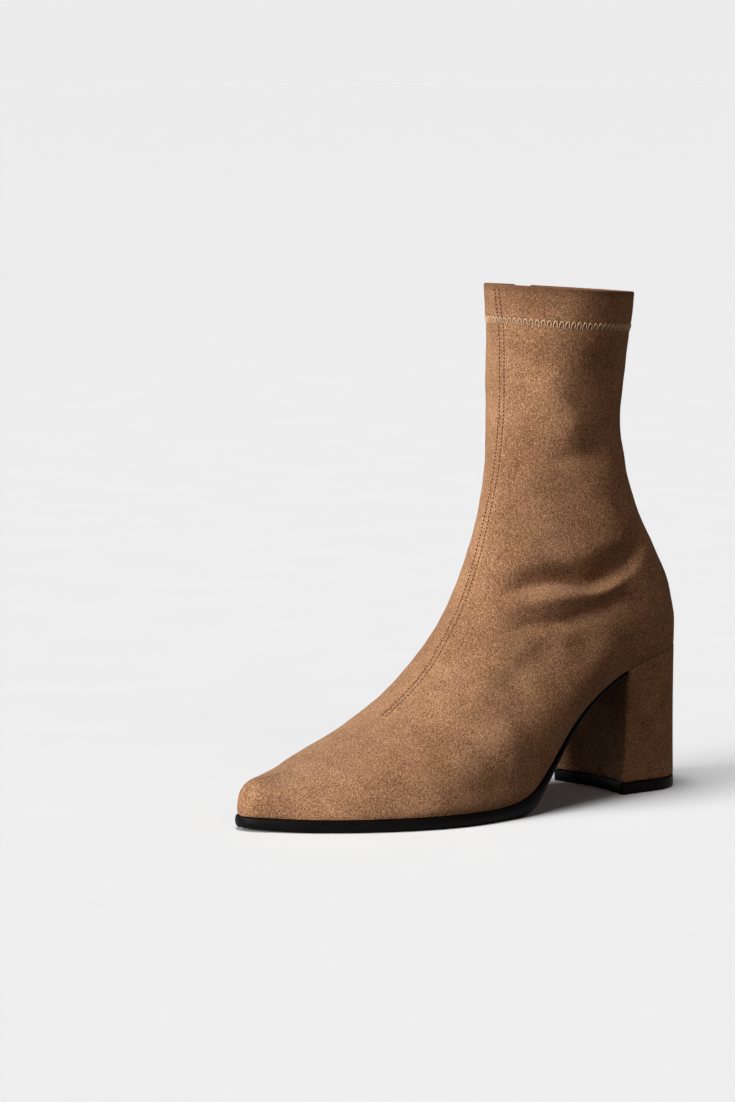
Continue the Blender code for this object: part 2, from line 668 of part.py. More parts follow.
def build_tab(frame, plate_out, parts, cutters):
    """A flat tab with a slot, hanging from the bridge. Its origin is on its hinge."""
    out, up = hinge_place(plate_out)
    hinge = frame @ Matrix.Translation((0.0, out, up))
    loops = []
    for row in TAB_OUTLINE:
        down = CROSSBAR - row.along * (TAB_LENGTH + CROSSBAR)
        curl = TAB_CURL * (max(row.along - TAB_CURL_FROM, 0.0) / (1 - TAB_CURL_FROM)) ** 2
        half = row.width * TAB_WIDTH / 2
        corners = ((half, TAB / 2), (-half, TAB / 2), (-half, -TAB / 2), (half, -TAB / 2))
        loops.append([(across, curl + thick, down) for across, thick in corners])
    tab = new_object("zip_pull_tab", loft_mesh("zip_pull_tab", loops), STEEL, parts)
    slot_width, slot_length = TAB_SLOT
    slot_place = (0.0, 0.0, -CROSSBAR - slot_length / 2)
    slot = box_object("tab_slot", (slot_width, 4 * TAB, slot_length), slot_place, hinge, STEEL, cutters)
    hide(slot)
    tab.matrix_world = hinge
    boolean(tab, "DIFFERENCE", slot)


def main():
    for old in list(bpy.data.objects):
        bpy.data.objects.remove(old)
    parts = bpy.data.collections.new("block heel ankle boot")
    cutters = bpy.data.collections.new("cutters")
    for collection in (parts, cutters):
        bpy.context.scene.collection.children.link(collection)
    last = Last()
    build_upper(last, parts, cutters)
    build_outsole(last, parts)
    build_insole(last, parts)
    build_heel(last, parts)
    build_zip(last, parts, cutters)


if __name__ == "__main__":
    main()
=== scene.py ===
"""Looks of the block heel ankle boot: suede upper, stitching, zip, sole, heel and a plain studio.

Metres. +X runs to the toe, +Y to the outer side of the foot and +Z up from the floor.
"""

import logging
import math
from contextlib import contextmanager
from dataclasses import dataclass
from enum import Enum
from typing import Iterator, NamedTuple, Optional, Sequence

import bmesh
import bpy
import numpy as np
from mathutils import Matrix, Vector
from mathutils.bvhtree import BVHTree


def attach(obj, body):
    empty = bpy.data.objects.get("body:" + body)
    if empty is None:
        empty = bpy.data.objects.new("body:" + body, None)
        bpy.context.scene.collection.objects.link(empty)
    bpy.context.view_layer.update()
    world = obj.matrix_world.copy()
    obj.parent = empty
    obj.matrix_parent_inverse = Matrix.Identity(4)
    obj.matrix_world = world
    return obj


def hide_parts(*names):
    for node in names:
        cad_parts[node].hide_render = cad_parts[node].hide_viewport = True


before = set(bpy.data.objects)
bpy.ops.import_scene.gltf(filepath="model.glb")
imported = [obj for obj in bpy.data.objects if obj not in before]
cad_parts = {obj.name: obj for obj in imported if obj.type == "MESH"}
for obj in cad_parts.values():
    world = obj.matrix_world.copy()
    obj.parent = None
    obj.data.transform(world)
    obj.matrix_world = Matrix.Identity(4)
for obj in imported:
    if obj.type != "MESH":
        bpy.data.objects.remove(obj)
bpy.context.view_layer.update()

Array = np.ndarray
Colour = tuple[float, float, float]
Span = tuple[float, float]
Pairs = tuple[tuple[float, float], ...]
Quad = tuple[float, float, float, float]
Material = bpy.types.Material
Piece = bpy.types.Object
Socket = bpy.types.NodeSocket
MM = 0.001

# Edges that turn by more than this stay sharp
CREASE = math.radians(48.0)
# Distances under which points are joined
WELD, CLOSE_WELD, FINE_WELD = 1e-6, 1e-7, 1e-8
# A direction with more of Z than this counts as upright
UPRIGHT = 0.9

log = logging.getLogger("boot")


class Side(Enum):
    """The two sides of the foot, with the sign of Y on each."""

    OUTER = 1
    INNER = -1


class Body(Enum):
    """The bodies that pieces ride on."""

    BOOT = "boot"
    PULL_TAB = "pull_tab"


class Slot(Enum):
    """The material slots of the part."""

    SUEDE = "suede"
    RUBBER = "black_rubber"
    LINING = "lining"
    TAPE = "zip_tape"
    CHAIN = "zip_chain"
    METAL = "zip_metal"


class Bands(Enum):
    """Directions that woven and knitted bands run in."""

    UP = "Z"
    SLANTED = "DIAGONAL"


class Overlay(Enum):
    """Ways of laying one colour over another."""

    COVER = "MIX"
    STAIN = "MULTIPLY"


class Lit(Enum):
    """What a lamp shines on, by how the floor is linked to it."""

    ALL = "NONE"
    BOOT_ALONE = "EXCLUDE"
    FLOOR_ALONE = "INCLUDE"


# The last


class PlanRow(NamedTuple):
    """The feather line in plan: a share of the length, then shares of the ball width."""

    along: float
    half: float
    centre: float


class SectionRow(NamedTuple):
    """A section of the upper from a low point to a high point on the front seam, in shares."""

    low: float
    low_up: Optional[float]
    high: float
    high_up: float
    half: float
    lean: float
    belly: float
    crown_outer: float
    crown_inner: float


PLAN = tuple(
    PlanRow(*row)
    for row in (
        (0.000, 0.000, 0.000), (0.034, 0.227, 0.000), (0.069, 0.298, 0.000), (0.117, 0.328, 0.000),
        (0.184, 0.330, 0.006), (0.302, 0.349, 0.023), (0.421, 0.424, 0.047), (0.540, 0.483, 0.058),
        (0.638, 0.500, 0.058), (0.737, 0.459, 0.035), (0.836, 0.360, -0.006), (0.915, 0.240, -0.058),
        (0.963, 0.134, -0.093), (0.995, 0.000, -0.108),
    )
)

# The feather line's height: shares of the length, each with its share of the heel height
FEATHER: Pairs = (
    (0.000, 1.000), (0.085, 0.940), (0.174, 0.856), (0.277, 0.671), (0.347, 0.494), (0.408, 0.301),
    (0.460, 0.164), (0.532, 0.0965), (0.640, 0.087), (0.780, 0.086), (0.880, 0.086), (0.995, 0.0917),
)

FOOT = tuple(
    SectionRow(*row)
    for row in (
        (0.9950, None, 0.9950, 0.0270, 0.000, -0.108, 0.35, 2.0, 2.0),
        (0.9802, None, 0.9775, 0.0790, 0.098, -0.105, 0.35, 2.1, 2.3),
        (0.9387, None, 0.9328, 0.0965, 0.195, -0.095, 0.32, 2.0, 2.5),
        (0.8478, None, 0.8320, 0.1280, 0.352, -0.070, 0.27, 1.9, 2.5),
        (0.7055, None, 0.6976, 0.1840, 0.490, -0.029, 0.22, 1.9, 2.4),
        (0.5711, None, 0.5949, 0.2661, 0.500, 0.000, 0.20, 1.9, 2.3),
        (0.4130, None, 0.5316, 0.3468, 0.453, 0.000, 0.22, 1.9, 2.2),
        (0.2708, None, 0.4874, 0.4294, 0.407, 0.000, 0.25, 1.9, 2.2),
        (0.1364, None, 0.4565, 0.5141, 0.380, 0.000, 0.30, 1.9, 2.3),
        (0.0000, None, 0.4328, 0.5988, 0.366, 0.000, 0.37, 1.9, 2.4),
    )
)

LEG = tuple(
    SectionRow(*row)
    for row in (
        (0.0000, 0.3387, 0.4217, 0.6452, 0.362, 0.000, 0.40, 1.9, 2.5),
        (0.0178, 0.4032, 0.4146, 0.6895, 0.360, 0.000, 0.45, 1.9, 2.5),
        (0.0600, 0.4798, 0.4095, 0.7379, 0.358, 0.000, 0.51, 2.0, 2.5),
        (0.1050, 0.5605, 0.4071, 0.7903, 0.360, 0.000, 0.52, 2.0, 2.4),
        (0.1320, 0.6452, 0.4067, 0.8427, 0.364, 0.000, 0.51, 2.0, 2.3),
        (0.1390, 0.7460, 0.4078, 0.8965, 0.368, 0.000, 0.50, 2.0, 2.2),
        (0.1290, 0.8669, 0.4112, 0.9560, 0.374, 0.000, 0.50, 2.0, 2.1),
        (0.1146, 0.9891, 0.4192, 1.0121, 0.383, 0.000, 0.50, 2.0, 2.0),
    )
)


class Spline:
    """A natural cubic spline through values at rising knots."""

    def __init__(self, knots: Sequence[float], values: Sequence[float]) -> None:
        """Solves the spline.

        Args:
            knots: rising places.
            values: one value for each place.
        """
        self.knots = np.asarray(knots, float)
        self.values = np.asarray(values, float)
        count = len(self.knots)
        gaps = np.diff(self.knots)
        slopes = np.diff(self.values) / gaps
        system = np.eye(count)
        right = np.zeros(count)
        for i in range(1, count - 1):
            system[i, i - 1 : i + 2] = gaps[i - 1], 2 * (gaps[i - 1] + gaps[i]), gaps[i]
            right[i] = 3 * (slopes[i] - slopes[i - 1])
        bends = np.linalg.solve(system, right)
        self.slope = slopes - gaps * (2 * bends[:-1] + bends[1:]) / 3
        self.bend = bends[:-1]
        self.turn = np.diff(bends) / (3 * gaps)

    def __call__(self, where: Array) -> Array:
        """Reads the spline.

        Args:
            where: one place or an array of places.

        Returns:
            The values there.
        """
        i = np.clip(np.searchsorted(self.knots, where, side="right") - 1, 0, len(self.slope) - 1)
        run = where - self.knots[i]
        return self.values[i] + run * (self.slope[i] + run * (self.bend[i] + run * self.turn[i]))


def lengths(line: Array) -> Array:
    """Length along a line from its start to each of its points."""
    return np.concatenate([[0.0], np.cumsum(np.linalg.norm(np.diff(line, axis=0), axis=1))])


def spaced(line: Array, pieces: int, ease: float = 1.0) -> Array:
    """Spaces points along a line, evenly or closer towards its end.

    Args:
        line: points of the line.
        pieces: number of pieces.
        ease: length of the last piece, as a share of the mean.

    Returns:
        pieces + 1 points.
    """
    reach = lengths(line)
    left = np.linspace(1.0, 0.0, pieces + 1)
    wanted = reach[-1] * (1 - ease * left - (1 - ease) * left**2)
    return np.stack([np.interp(wanted, reach, line[:, k]) for k in range(line.shape[1])], axis=1)


def soft_step(value: Array, low: float, high: float) -> Array:
    """Rises smoothly from 0 at low to 1 at high."""
    share = np.clip((np.asarray(value, float) - low) / (high - low), 0.0, 1.0)
    return share * share * (3 - 2 * share)


def plateau(value: Array, foot: float, top: float, brow: float, end: float) -> Array:
    """A soft plateau that rises from foot to top and falls from brow to end."""
    return soft_step(value, foot, top) * (1 - soft_step(value, brow, end))


def hump(value: Array, width: Array) -> Array:
    """A soft hump of height 1 at 0, which is about twice the width across."""
    return np.exp(-((np.asarray(value, float) / width) ** 2))


class Ripple(NamedTuple):
    """A low ridge or groove in millimetres: its rise, its distance from a line and its width."""

    rise: float
    away: float
    width: float

    def over(self, distance: Array) -> Array:
        """Heights in metres at distances from the line."""
        return MM * self.rise * hump(distance - MM * self.away, MM * self.width)


def unit(vectors: Array) -> Array:
    """The same vectors at length 1."""
    return vectors / np.maximum(np.linalg.norm(vectors, axis=-1, keepdims=True), 1e-12)


@dataclass
class Last:
    """The form that the boot is built on, with the sizes and sections of the part."""

    length: float = 0.253
    ball_width: float = 0.086
    heel_height: float = 0.0730
    boot_height: float = 0.248
    axis_y: float = -0.005
    toe_tip: float = 0.995
    fine: int = 240
    crowding: float = 0.36
    search_from: float = 0.4
    halvings: int = 34

    def __post_init__(self) -> None:
        """Puts splines through the tables."""
        along = [row.along for row in PLAN]
        self.half_square = Spline(along, [(row.half * self.ball_width) ** 2 for row in PLAN])
        self.plan_centre = Spline(along, [row.centre * self.ball_width for row in PLAN])
        knots, rises = zip(*FEATHER)
        self.rise = Spline(knots, [rise * self.heel_height for rise in rises])
        self.place_sections()

    def x_of(self, along: float) -> float:
        """X of a share of the length."""
        return (along - 0.5) * self.length

    def feather_half(self, x: Array) -> Array:
        """Half the width of the feather line's plan."""
        return np.sqrt(np.maximum(self.half_square(x / self.length + 0.5), 0.0))

    def feather_centre(self, x: Array) -> Array:
        """Y of the middle of the feather line's plan."""
        return self.axis_y + self.plan_centre(x / self.length + 0.5)

    def feather_height(self, x: Array) -> Array:
        """Z of the feather line."""
        return self.rise(x / self.length + 0.5)

    def outline(self, places: Array, inset: float) -> tuple[Array, Array]:
        """Moves the feather line in, square to itself.

        Args:
            places: x places on the line.
            inset: how far it moves in.

        Returns:
            The new x places, and the half width at each.
        """
        tiny = 1e-6 * self.length
        near = np.maximum(places - tiny, self.x_of(0.0))
        far = np.minimum(places + tiny, self.x_of(self.toe_tip))
        run = unit(np.stack([far - near, self.feather_half(far) - self.feather_half(near)], axis=1))
        return places + inset * run[:, 1], self.feather_half(places) - inset * run[:, 0]

    def place_sections(self) -> None:
        """Puts the sections on one station line, by how far their two ends move on average."""
        rows = FOOT + LEG
        ends = []
        for row in rows:
            x = self.x_of(row.low)
            on_feather = row.low_up is None
            ends.append((x, self.feather_height(x) if on_feather else row.low_up * self.boot_height))
        low = np.array(ends, float)
        high = np.array([(self.x_of(row.high), row.high_up * self.boot_height) for row in rows])
        stations = (lengths(low) + lengths(high)) / 2
        heel = len(FOOT) - 1
        self.heel_station = float(stations[heel])
        self.collar_station = float(stations[-1])
        self.foot_low_x = Spline(stations[: heel + 1], low[: heel + 1, 0])
        self.leg_low_x = Spline(stations[heel:], low[heel:, 0])
        self.leg_low_z = Spline(stations[heel:], low[heel:, 1])
        self.high_x = Spline(stations, high[:, 0])
        self.high_z = Spline(stations, high[:, 1])
        self.half_squares = Spline(stations, [(row.half * self.ball_width) ** 2 for row in rows])
        self.lean = Spline(stations, [row.lean * self.ball_width for row in rows])
        heights = np.linalg.norm(high - low, axis=1)
        self.crown_height = Spline(stations, [(1 - row.belly) * h for row, h in zip(rows, heights)])
        self.crowns = {
            Side.OUTER: Spline(stations, [row.crown_outer for row in rows]),
            Side.INNER: Spline(stations, [row.crown_inner for row in rows]),
        }

    def ends(self, station: float) -> tuple[Array, Array]:
        """Finds the ends of a section.

        Args:
            station: place on the station line.

        Returns:
            Its low and its high point, as x and z.
        """
        if station <= self.heel_station:
            x = float(np.clip(self.foot_low_x(station), self.x_of(0.0), self.x_of(self.toe_tip)))
            low = np.array([x, self.feather_height(x)])
        else:
            low = np.array([self.leg_low_x(station), self.leg_low_z(station)])
        return low, np.array([self.high_x(station), self.high_z(station)])

    def widths(self, station: float) -> tuple[float, float, float, float]:
        """Measures a section across the foot.

        Args:
            station: place on the station line.

        Returns:
            Half width at the low end, half width at the belly, y of the low end and y of the high end.
        """
        ridge = self.axis_y + float(self.lean(station))
        belly = math.sqrt(max(float(self.half_squares(station)), 0.0))
        if station >= self.heel_station:
            return 0.0, belly, self.axis_y, ridge
        x = self.ends(station)[0][0]
        return min(float(self.feather_half(x)), belly), belly, float(self.feather_centre(x)), ridge

    def belly(self, station: float) -> float:
        """Finds a section's widest place.

        Args:
            station: place on the station line.

        Returns:
            The share of the section under that place.
        """
        low, high = self.ends(station)
        height = float(np.linalg.norm(high - low))
        crown = float(self.crown_height(station))
        return FOOT[0].belly if height <= crown else 1 - crown / height

    def half_section(self, station: float, side: Side, columns: int) -> Array:
        """Draws one side of a section.

        Args:
            station: place on the station line.
            side: side of the foot.
            columns: number of pieces, which crowd towards the high end.

        Returns:
            Points from the low end to the high end.
        """
        foot, widest, centre, ridge = self.widths(station)
        belly, crown = self.belly(station), float(self.crowns[side](station))
        turn = np.linspace(0.0, math.pi / 2, self.fine)
        under = belly * (1 - np.cos(turn))
        up = np.concatenate([under, belly + (1 - belly) * np.sin(turn[1:]) ** (2 / crown)])
        lower = np.sqrt(np.maximum(widest**2 - (widest**2 - foot**2) * np.cos(turn) ** 2, 0.0))
        upper = widest * np.maximum(np.cos(turn[1:]), 0.0) ** (2 / crown)
        low, high = self.ends(station)
        x, z = (low + up[:, None] * (high - low)).T
        y = centre + (ridge - centre) * up + side.value * np.concatenate([lower, upper])
        return spaced(np.stack([x, y, z], axis=1), columns, self.crowding)

    def section(self, station: float, columns: int) -> Array:
        """Draws a whole section.

        Args:
            station: place on the station line.
            columns: number of pieces on each side.

        Returns:
            Points from the outer low end, over the front seam, to the inner low end.
        """
        outer = self.half_section(station, Side.OUTER, columns)
        inner = self.half_section(station, Side.INNER, columns)
        return np.concatenate([outer, inner[-2::-1]])

    def wall_point(self, x: float, z: float, side: Side) -> Array:
        """Finds the wall's outer face.

        Args:
            x: place along the foot.
            z: height.
            side: side of the foot.

        Returns:
            The point of the face at that x and z.
        """
        near, far = self.search_from * self.heel_station, self.collar_station
        for _ in range(self.halvings):
            middle = (near + far) / 2
            low, high = self.ends(middle)
            reach = high - low
            over = reach[0] * (z - low[1]) - reach[1] * (x - low[0])
            near, far = (middle, far) if over > 0 else (near, middle)
        up = float(reach @ (np.array([x, z]) - low) / (reach @ reach))
        foot, widest, centre, ridge = self.widths(middle)
        belly, crown = self.belly(middle), float(self.crowns[side](middle))
        if up >= belly:
            out = widest * max(1 - ((up - belly) / (1 - belly)) ** crown, 0.0) ** (1 / crown)
        else:
            out = math.sqrt(max(widest**2 - (widest**2 - foot**2) * ((belly - up) / belly) ** 2, 0.0))
        return np.array([x, centre + (ridge - centre) * up + side.value * out, z])


# Finishes


class Bench:
    """A material under construction: its node tree and its shader.

    The mix node's colour sockets share their names with others, so they go by number.
    """

    MIX_INPUTS = (0, 6, 7)
    MIX_RESULT = 2

    def __init__(self, name: str, roughness: float, metallic: float = 0.0) -> None:
        """Starts a material.

        Args:
            name: its name.
            roughness: the shader's roughness.
            metallic: the shader's metallic share.
        """
        self.material = bpy.data.materials.new(name)
        self.material.use_nodes = True
        self.tree = self.material.node_tree
        self.shader = self.tree.nodes["Principled BSDF"]
        self.shader.inputs["Roughness"].default_value = roughness
        self.shader.inputs["Metallic"].default_value = metallic
        coordinates = self.tree.nodes.new("ShaderNodeTexCoord").outputs
        self.places, self.shares = coordinates["Object"], coordinates["Generated"]

    def feed(self, socket: Socket, value: object) -> None:
        """Links a socket, or sets it where the value is a number.

        Args:
            socket: the socket that is fed.
            value: another socket, or a number or colour.
        """
        if isinstance(value, Socket):
            self.tree.links.new(value, socket)
        else:
            socket.default_value = value

    def node(self, kind: str, **feeds: object) -> bpy.types.Node:
        """Adds a node and feeds its inputs.

        Args:
            kind: the kind of node.
            feeds: a socket or a value for each named input.

        Returns:
            The node.
        """
        made = self.tree.nodes.new("ShaderNode" + kind)
        for name, value in feeds.items():
            self.feed(made.inputs[name], value)
        return made

    def stretched(self, scale: tuple[float, float, float], turn: float = 0.0) -> Socket:
        """Places scaled along x, y and z, and turned about Y by some degrees."""
        rotation = (0.0, math.radians(turn), 0.0)
        return self.node("Mapping", Vector=self.places, Rotation=rotation, Scale=scale).outputs["Vector"]

    def noise(
        self,
        scale: float,
        detail: float = 2.0,
        rough: float = 0.5,
        places: Optional[Socket] = None,
        swirl: float = 0.0,
    ) -> Socket:
        """Cloudy noise.

        Args:
            scale: cells in a metre.
            detail: octaves.
            rough: share of the finer octaves.
            places: where it is read, the object's own places if not given.
            swirl: how far the clouds are pulled into curls.

        Returns:
            The noise's socket, from 0 to 1.
        """
        node = self.node("TexNoise", Vector=places or self.places, Scale=scale, Detail=detail)
        self.feed(node.inputs["Roughness"], rough)
        self.feed(node.inputs["Distortion"], swirl)
        return node.outputs["Fac"]

    def cells(self, scale: float) -> Socket:
        """Distance to the nearest of scattered points, with so many points in a metre."""
        return self.node("TexVoronoi", Vector=self.places, Scale=scale).outputs["Distance"]

    def bands(self, scale: float, run: Bands, places: Optional[Socket] = None) -> Socket:
        """Even waves.

        Args:
            scale: scale of the waves.
            run: direction that they run in.
            places: where they are read, the object's own places if not given.

        Returns:
            The waves' socket, from 0 to 1.
        """
        node = self.node("TexWave", Vector=places or self.places, Scale=scale)
        node.bands_direction = run.value
        return node.outputs["Fac"]

    def sum(self, *terms: tuple[Socket, float]) -> Socket:
        """Adds sockets, each times its own weight.

        Args:
            terms: pairs of a socket and its weight.

        Returns:
            The sum's socket.
        """
        total: object = 0.0
        for socket, weight in terms:
            node = self.node("Math")
            node.operation = "MULTIPLY_ADD"
            for number, value in enumerate((socket, weight, total)):
                self.feed(node.inputs[number], value)
            total = node.outputs[0]
        return total

    def ramp(self, value: Socket, stops: Sequence[tuple[float, Colour]]) -> Socket:
        """Colours a value.

        Args:
            value: socket of the value.
            stops: pairs of a place and its colour.

        Returns:
            The colour's socket.
        """
        node = self.node("ValToRGB", Fac=value)
        marks = node.color_ramp.elements
        while len(marks) < len(stops):
            marks.new(0.5)
        for mark, (place, colour) in zip(marks, stops):
            mark.position = place
            mark.color = (*colour, 1.0)
        return node.outputs["Color"]

    def range(self, value: Socket, low: float, high: float, start: float = 0.0, end: float = 1.0) -> Socket:
        """Brings a value that runs from start to end to the range from low to high."""
        ends = {"From Min": start, "From Max": end, "To Min": low, "To Max": high}
        return self.node("MapRange", Value=value, **ends).outputs["Result"]

    def bump(self, height: Socket, strength: float, distance: float) -> None:
        """Gives the shader relief: the share of it that shows, and its height in metres."""
        node = self.node("Bump", Strength=strength, Distance=distance, Height=height)
        self.feed(self.shader.inputs["Normal"], node.outputs["Normal"])

    def blend(
        self, first: Socket, second: object, share: object = 1.0, way: Overlay = Overlay.COVER
    ) -> Socket:
        """Lays one colour over another.

        Args:
            first: socket of the lower colour.
            second: socket of the upper colour, or the colour itself.
            share: how much of the upper colour shows.
            way: how the two are joined.

        Returns:
            The colour's socket.
        """
        node = self.node("Mix")
        node.data_type = "RGBA"
        node.blend_type = way.value
        for number, value in zip(self.MIX_INPUTS, (share, first, second)):
            self.feed(node.inputs[number], value)
        return node.outputs[self.MIX_RESULT]

    def axes(self) -> tuple[Socket, ...]:
        """The x, y and z of the object's own places."""
        return tuple(self.node("SeparateXYZ", Vector=self.places).outputs)

    def colour(self, value: object) -> None:
        """Gives the shader its colour."""
        self.feed(self.shader.inputs["Base Color"], value)

    def specular(self, level: float) -> None:
        """Sets how strongly the shader mirrors light."""
        self.shader.inputs["Specular IOR Level"].default_value = level

    def sheen(self, weight: float, roughness: float, tint: Colour) -> None:
        """Gives the shader a nap's sheen.

        Args:
            weight: strength of the sheen.
            roughness: spread of the sheen.
            tint: its colour.
        """
        self.shader.inputs["Sheen Weight"].default_value = weight
        self.shader.inputs["Sheen Roughness"].default_value = roughness
        self.shader.inputs["Sheen Tint"].default_value = (*tint, 1.0)


@dataclass(frozen=True)
class SuedeFinish:
    """Short napped suede with brushed patches and soft clouds, and painted shade at the collar's hem and rim.
    """

    name: str = "tan suede"
    dark: Colour = (0.135, 0.059, 0.028)
    middle: Colour = (0.335, 0.170, 0.086)
    light: Colour = (0.620, 0.360, 0.203)
    yellow: Colour = (1.0, 1.01, 0.97)
    pink: Colour = (1.0, 0.975, 1.01)
    grain: float = 1450.0
    fuzz: float = 2300.0
    blush: float = 105.0
    patch: float = 62.0
    cloud: float = 17.0
    relief: float = 0.00085
    collar_rise: float = 0.0739
    collar_height: float = 0.2525
    # Painted shade: how far under the collar's top the hem band and the rolled rim darken; at the rim it lies
    # over a pressed, darker edge
    collar_painted_shade: Span = (0.0150, 0.0034)

    def material(self) -> Material:
        """Builds the material.

        Returns:
            The material.
        """
        bench = Bench(self.name, roughness=0.95)
        grain = bench.noise(self.grain, detail=3.0, rough=0.7, swirl=0.5)
        fuzz = bench.noise(self.fuzz, detail=1.0)
        patches = bench.noise(self.patch, detail=3.0, rough=0.6)
        clouds = bench.noise(self.cloud)
        tone = bench.sum((grain, 0.54), (fuzz, 0.26), (patches, 0.10), (clouds, 0.10))
        base = bench.ramp(tone, ((0.408, self.dark), (0.50, self.middle), (0.592, self.light)))
        flush = bench.noise(self.blush, detail=3.0, rough=0.6)
        blush = bench.ramp(flush, ((0.40, self.yellow), (0.60, self.pink)))
        napped = bench.blend(base, blush, way=Overlay.STAIN)
        x, _, z = bench.axes()
        height = bench.sum((z, 1.0), (x, -self.collar_rise))
        # Painted shade towards the collar's top: a soft band over the hem and a darker one along the rolled
        # rim
        hem, rim = (
            bench.range(height, 0.0, 1.0, start=self.collar_height - fall, end=self.collar_height)
            for fall in self.collar_painted_shade
        )
        bench.colour(bench.blend(napped, (*self.dark, 1.0), bench.sum((hem, 0.26), (rim, 0.40))))
        bench.bump(bench.sum((grain, 0.6), (fuzz, 0.4)), strength=0.9, distance=self.relief)
        bench.specular(0.10)
        bench.sheen(weight=0.18, roughness=0.40, tint=(1.0, 0.76, 0.55))
        return bench.material


@dataclass(frozen=True)
class RubberFinish:
    """Satin black rubber with a fine grain, plain or with a chevron tread."""

    name: str = "satin black rubber"
    dark: Colour = (0.0018, 0.0014, 0.0014)
    light: Colour = (0.0060, 0.0048, 0.0046)
    tread: bool = False
    rib: float = 95.0
    grain: float = 1800.0
    wear: float = 70.0

    def material(self) -> Material:
        """Builds the material.

        Returns:
            The material.
        """
        bench = Bench(self.name, roughness=0.4)
        grain = bench.noise(self.grain)
        wear = bench.noise(self.wear, detail=3.0, rough=0.6)
        tone = bench.sum((grain, 0.3), (wear, 0.7))
        bench.colour(bench.ramp(tone, ((0.3, self.dark), (0.75, self.light))))
        bench.feed(bench.shader.inputs["Roughness"], bench.range(wear, low=0.38, high=0.58))
        bench.specular(0.07)
        if not self.tread:
            bench.bump(grain, strength=0.25, distance=0.00012)
            return bench.material
        folded = bench.node("VectorMath")
        folded.operation = "ABSOLUTE"
        bench.feed(folded.inputs[0], bench.places)
        chevrons = bench.bands(self.rib, Bands.SLANTED, folded.outputs["Vector"])
        bench.bump(bench.sum((chevrons, 0.9), (grain, 0.1)), strength=0.8, distance=0.0006)
        return bench.material


@dataclass(frozen=True)
class SockFinish:
    """The insole's smooth covering with a fine pebbled grain."""

    name: str = "insole sock"
    dark: Colour = (0.17, 0.105, 0.062)
    light: Colour = (0.33, 0.225, 0.145)
    pebble: float = 900.0
    wear: float = 30.0

    def material(self) -> Material:
        """Builds the material.

        Returns:
            The material.
        """
        bench = Bench(self.name, roughness=0.6)
        pebble = bench.cells(self.pebble)
        wear = bench.noise(self.wear, detail=3.0, rough=0.6)
        tone = bench.sum((pebble, 0.35), (wear, 0.65))
        bench.colour(bench.ramp(tone, ((0.3, self.dark), (0.75, self.light))))
        bench.bump(pebble, strength=0.35, distance=0.0002)
        return bench.material


@dataclass(frozen=True)
class ClothFinish:
    """Twisted thread, or knitted or woven cloth: fine bands under fuzz, each with its own weight."""

    name: str
    dark: Colour
    light: Colour
    bands: tuple[tuple[float, Bands, float], ...] = ((900.0, Bands.SLANTED, 0.5),)
    fuzz: Span = (2600.0, 0.5)
    light_at: float = 0.7
    roughness: float = 0.6
    strength: float = 0.5
    relief: float = 0.00012
    specular: float = 0.15
    sheen: tuple[float, float, Colour] = (0.08, 0.4, (1.0, 0.90, 0.75))

    def material(self) -> Material:
        """Builds the material.

        Returns:
            The material.
        """
        bench = Bench(self.name, self.roughness)
        rows = [(bench.bands(scale, run), weight) for scale, run, weight in self.bands]
        fuzz = bench.noise(self.fuzz[0], rough=0.6)
        cloth = bench.sum(*rows, (fuzz, self.fuzz[1]))
        bench.colour(bench.ramp(cloth, ((0.2, self.dark), (self.light_at, self.light))))
        bench.bump(cloth, self.strength, self.relief)
        bench.specular(self.specular)
        bench.sheen(*self.sheen)
        return bench.material


@dataclass(frozen=True)
class MetalFinish:
    """Polished or burnished metal with faint handling marks."""

    name: str
    dark: Colour
    light: Colour
    smooth: float
    rough: float
    mark: float = 700.0
    tarnish: float = 160.0

    def material(self) -> Material:
        """Builds the material.

        Returns:
            The material.
        """
        bench = Bench(self.name, self.rough, metallic=1.0)
        drawn = bench.stretched((1.0, 1.0, 0.15), turn=8.0)
        marks = bench.noise(self.mark, detail=3.0, rough=0.6, places=drawn)
        tarnish = bench.noise(self.tarnish)
        tone = bench.sum((marks, 0.4), (tarnish, 0.6))
        bench.colour(bench.ramp(tone, ((0.3, self.dark), (0.7, self.light))))
        bench.feed(bench.shader.inputs["Roughness"], bench.range(marks, self.smooth, self.rough))
        bench.bump(marks, strength=0.15, distance=0.00008)
        return bench.material


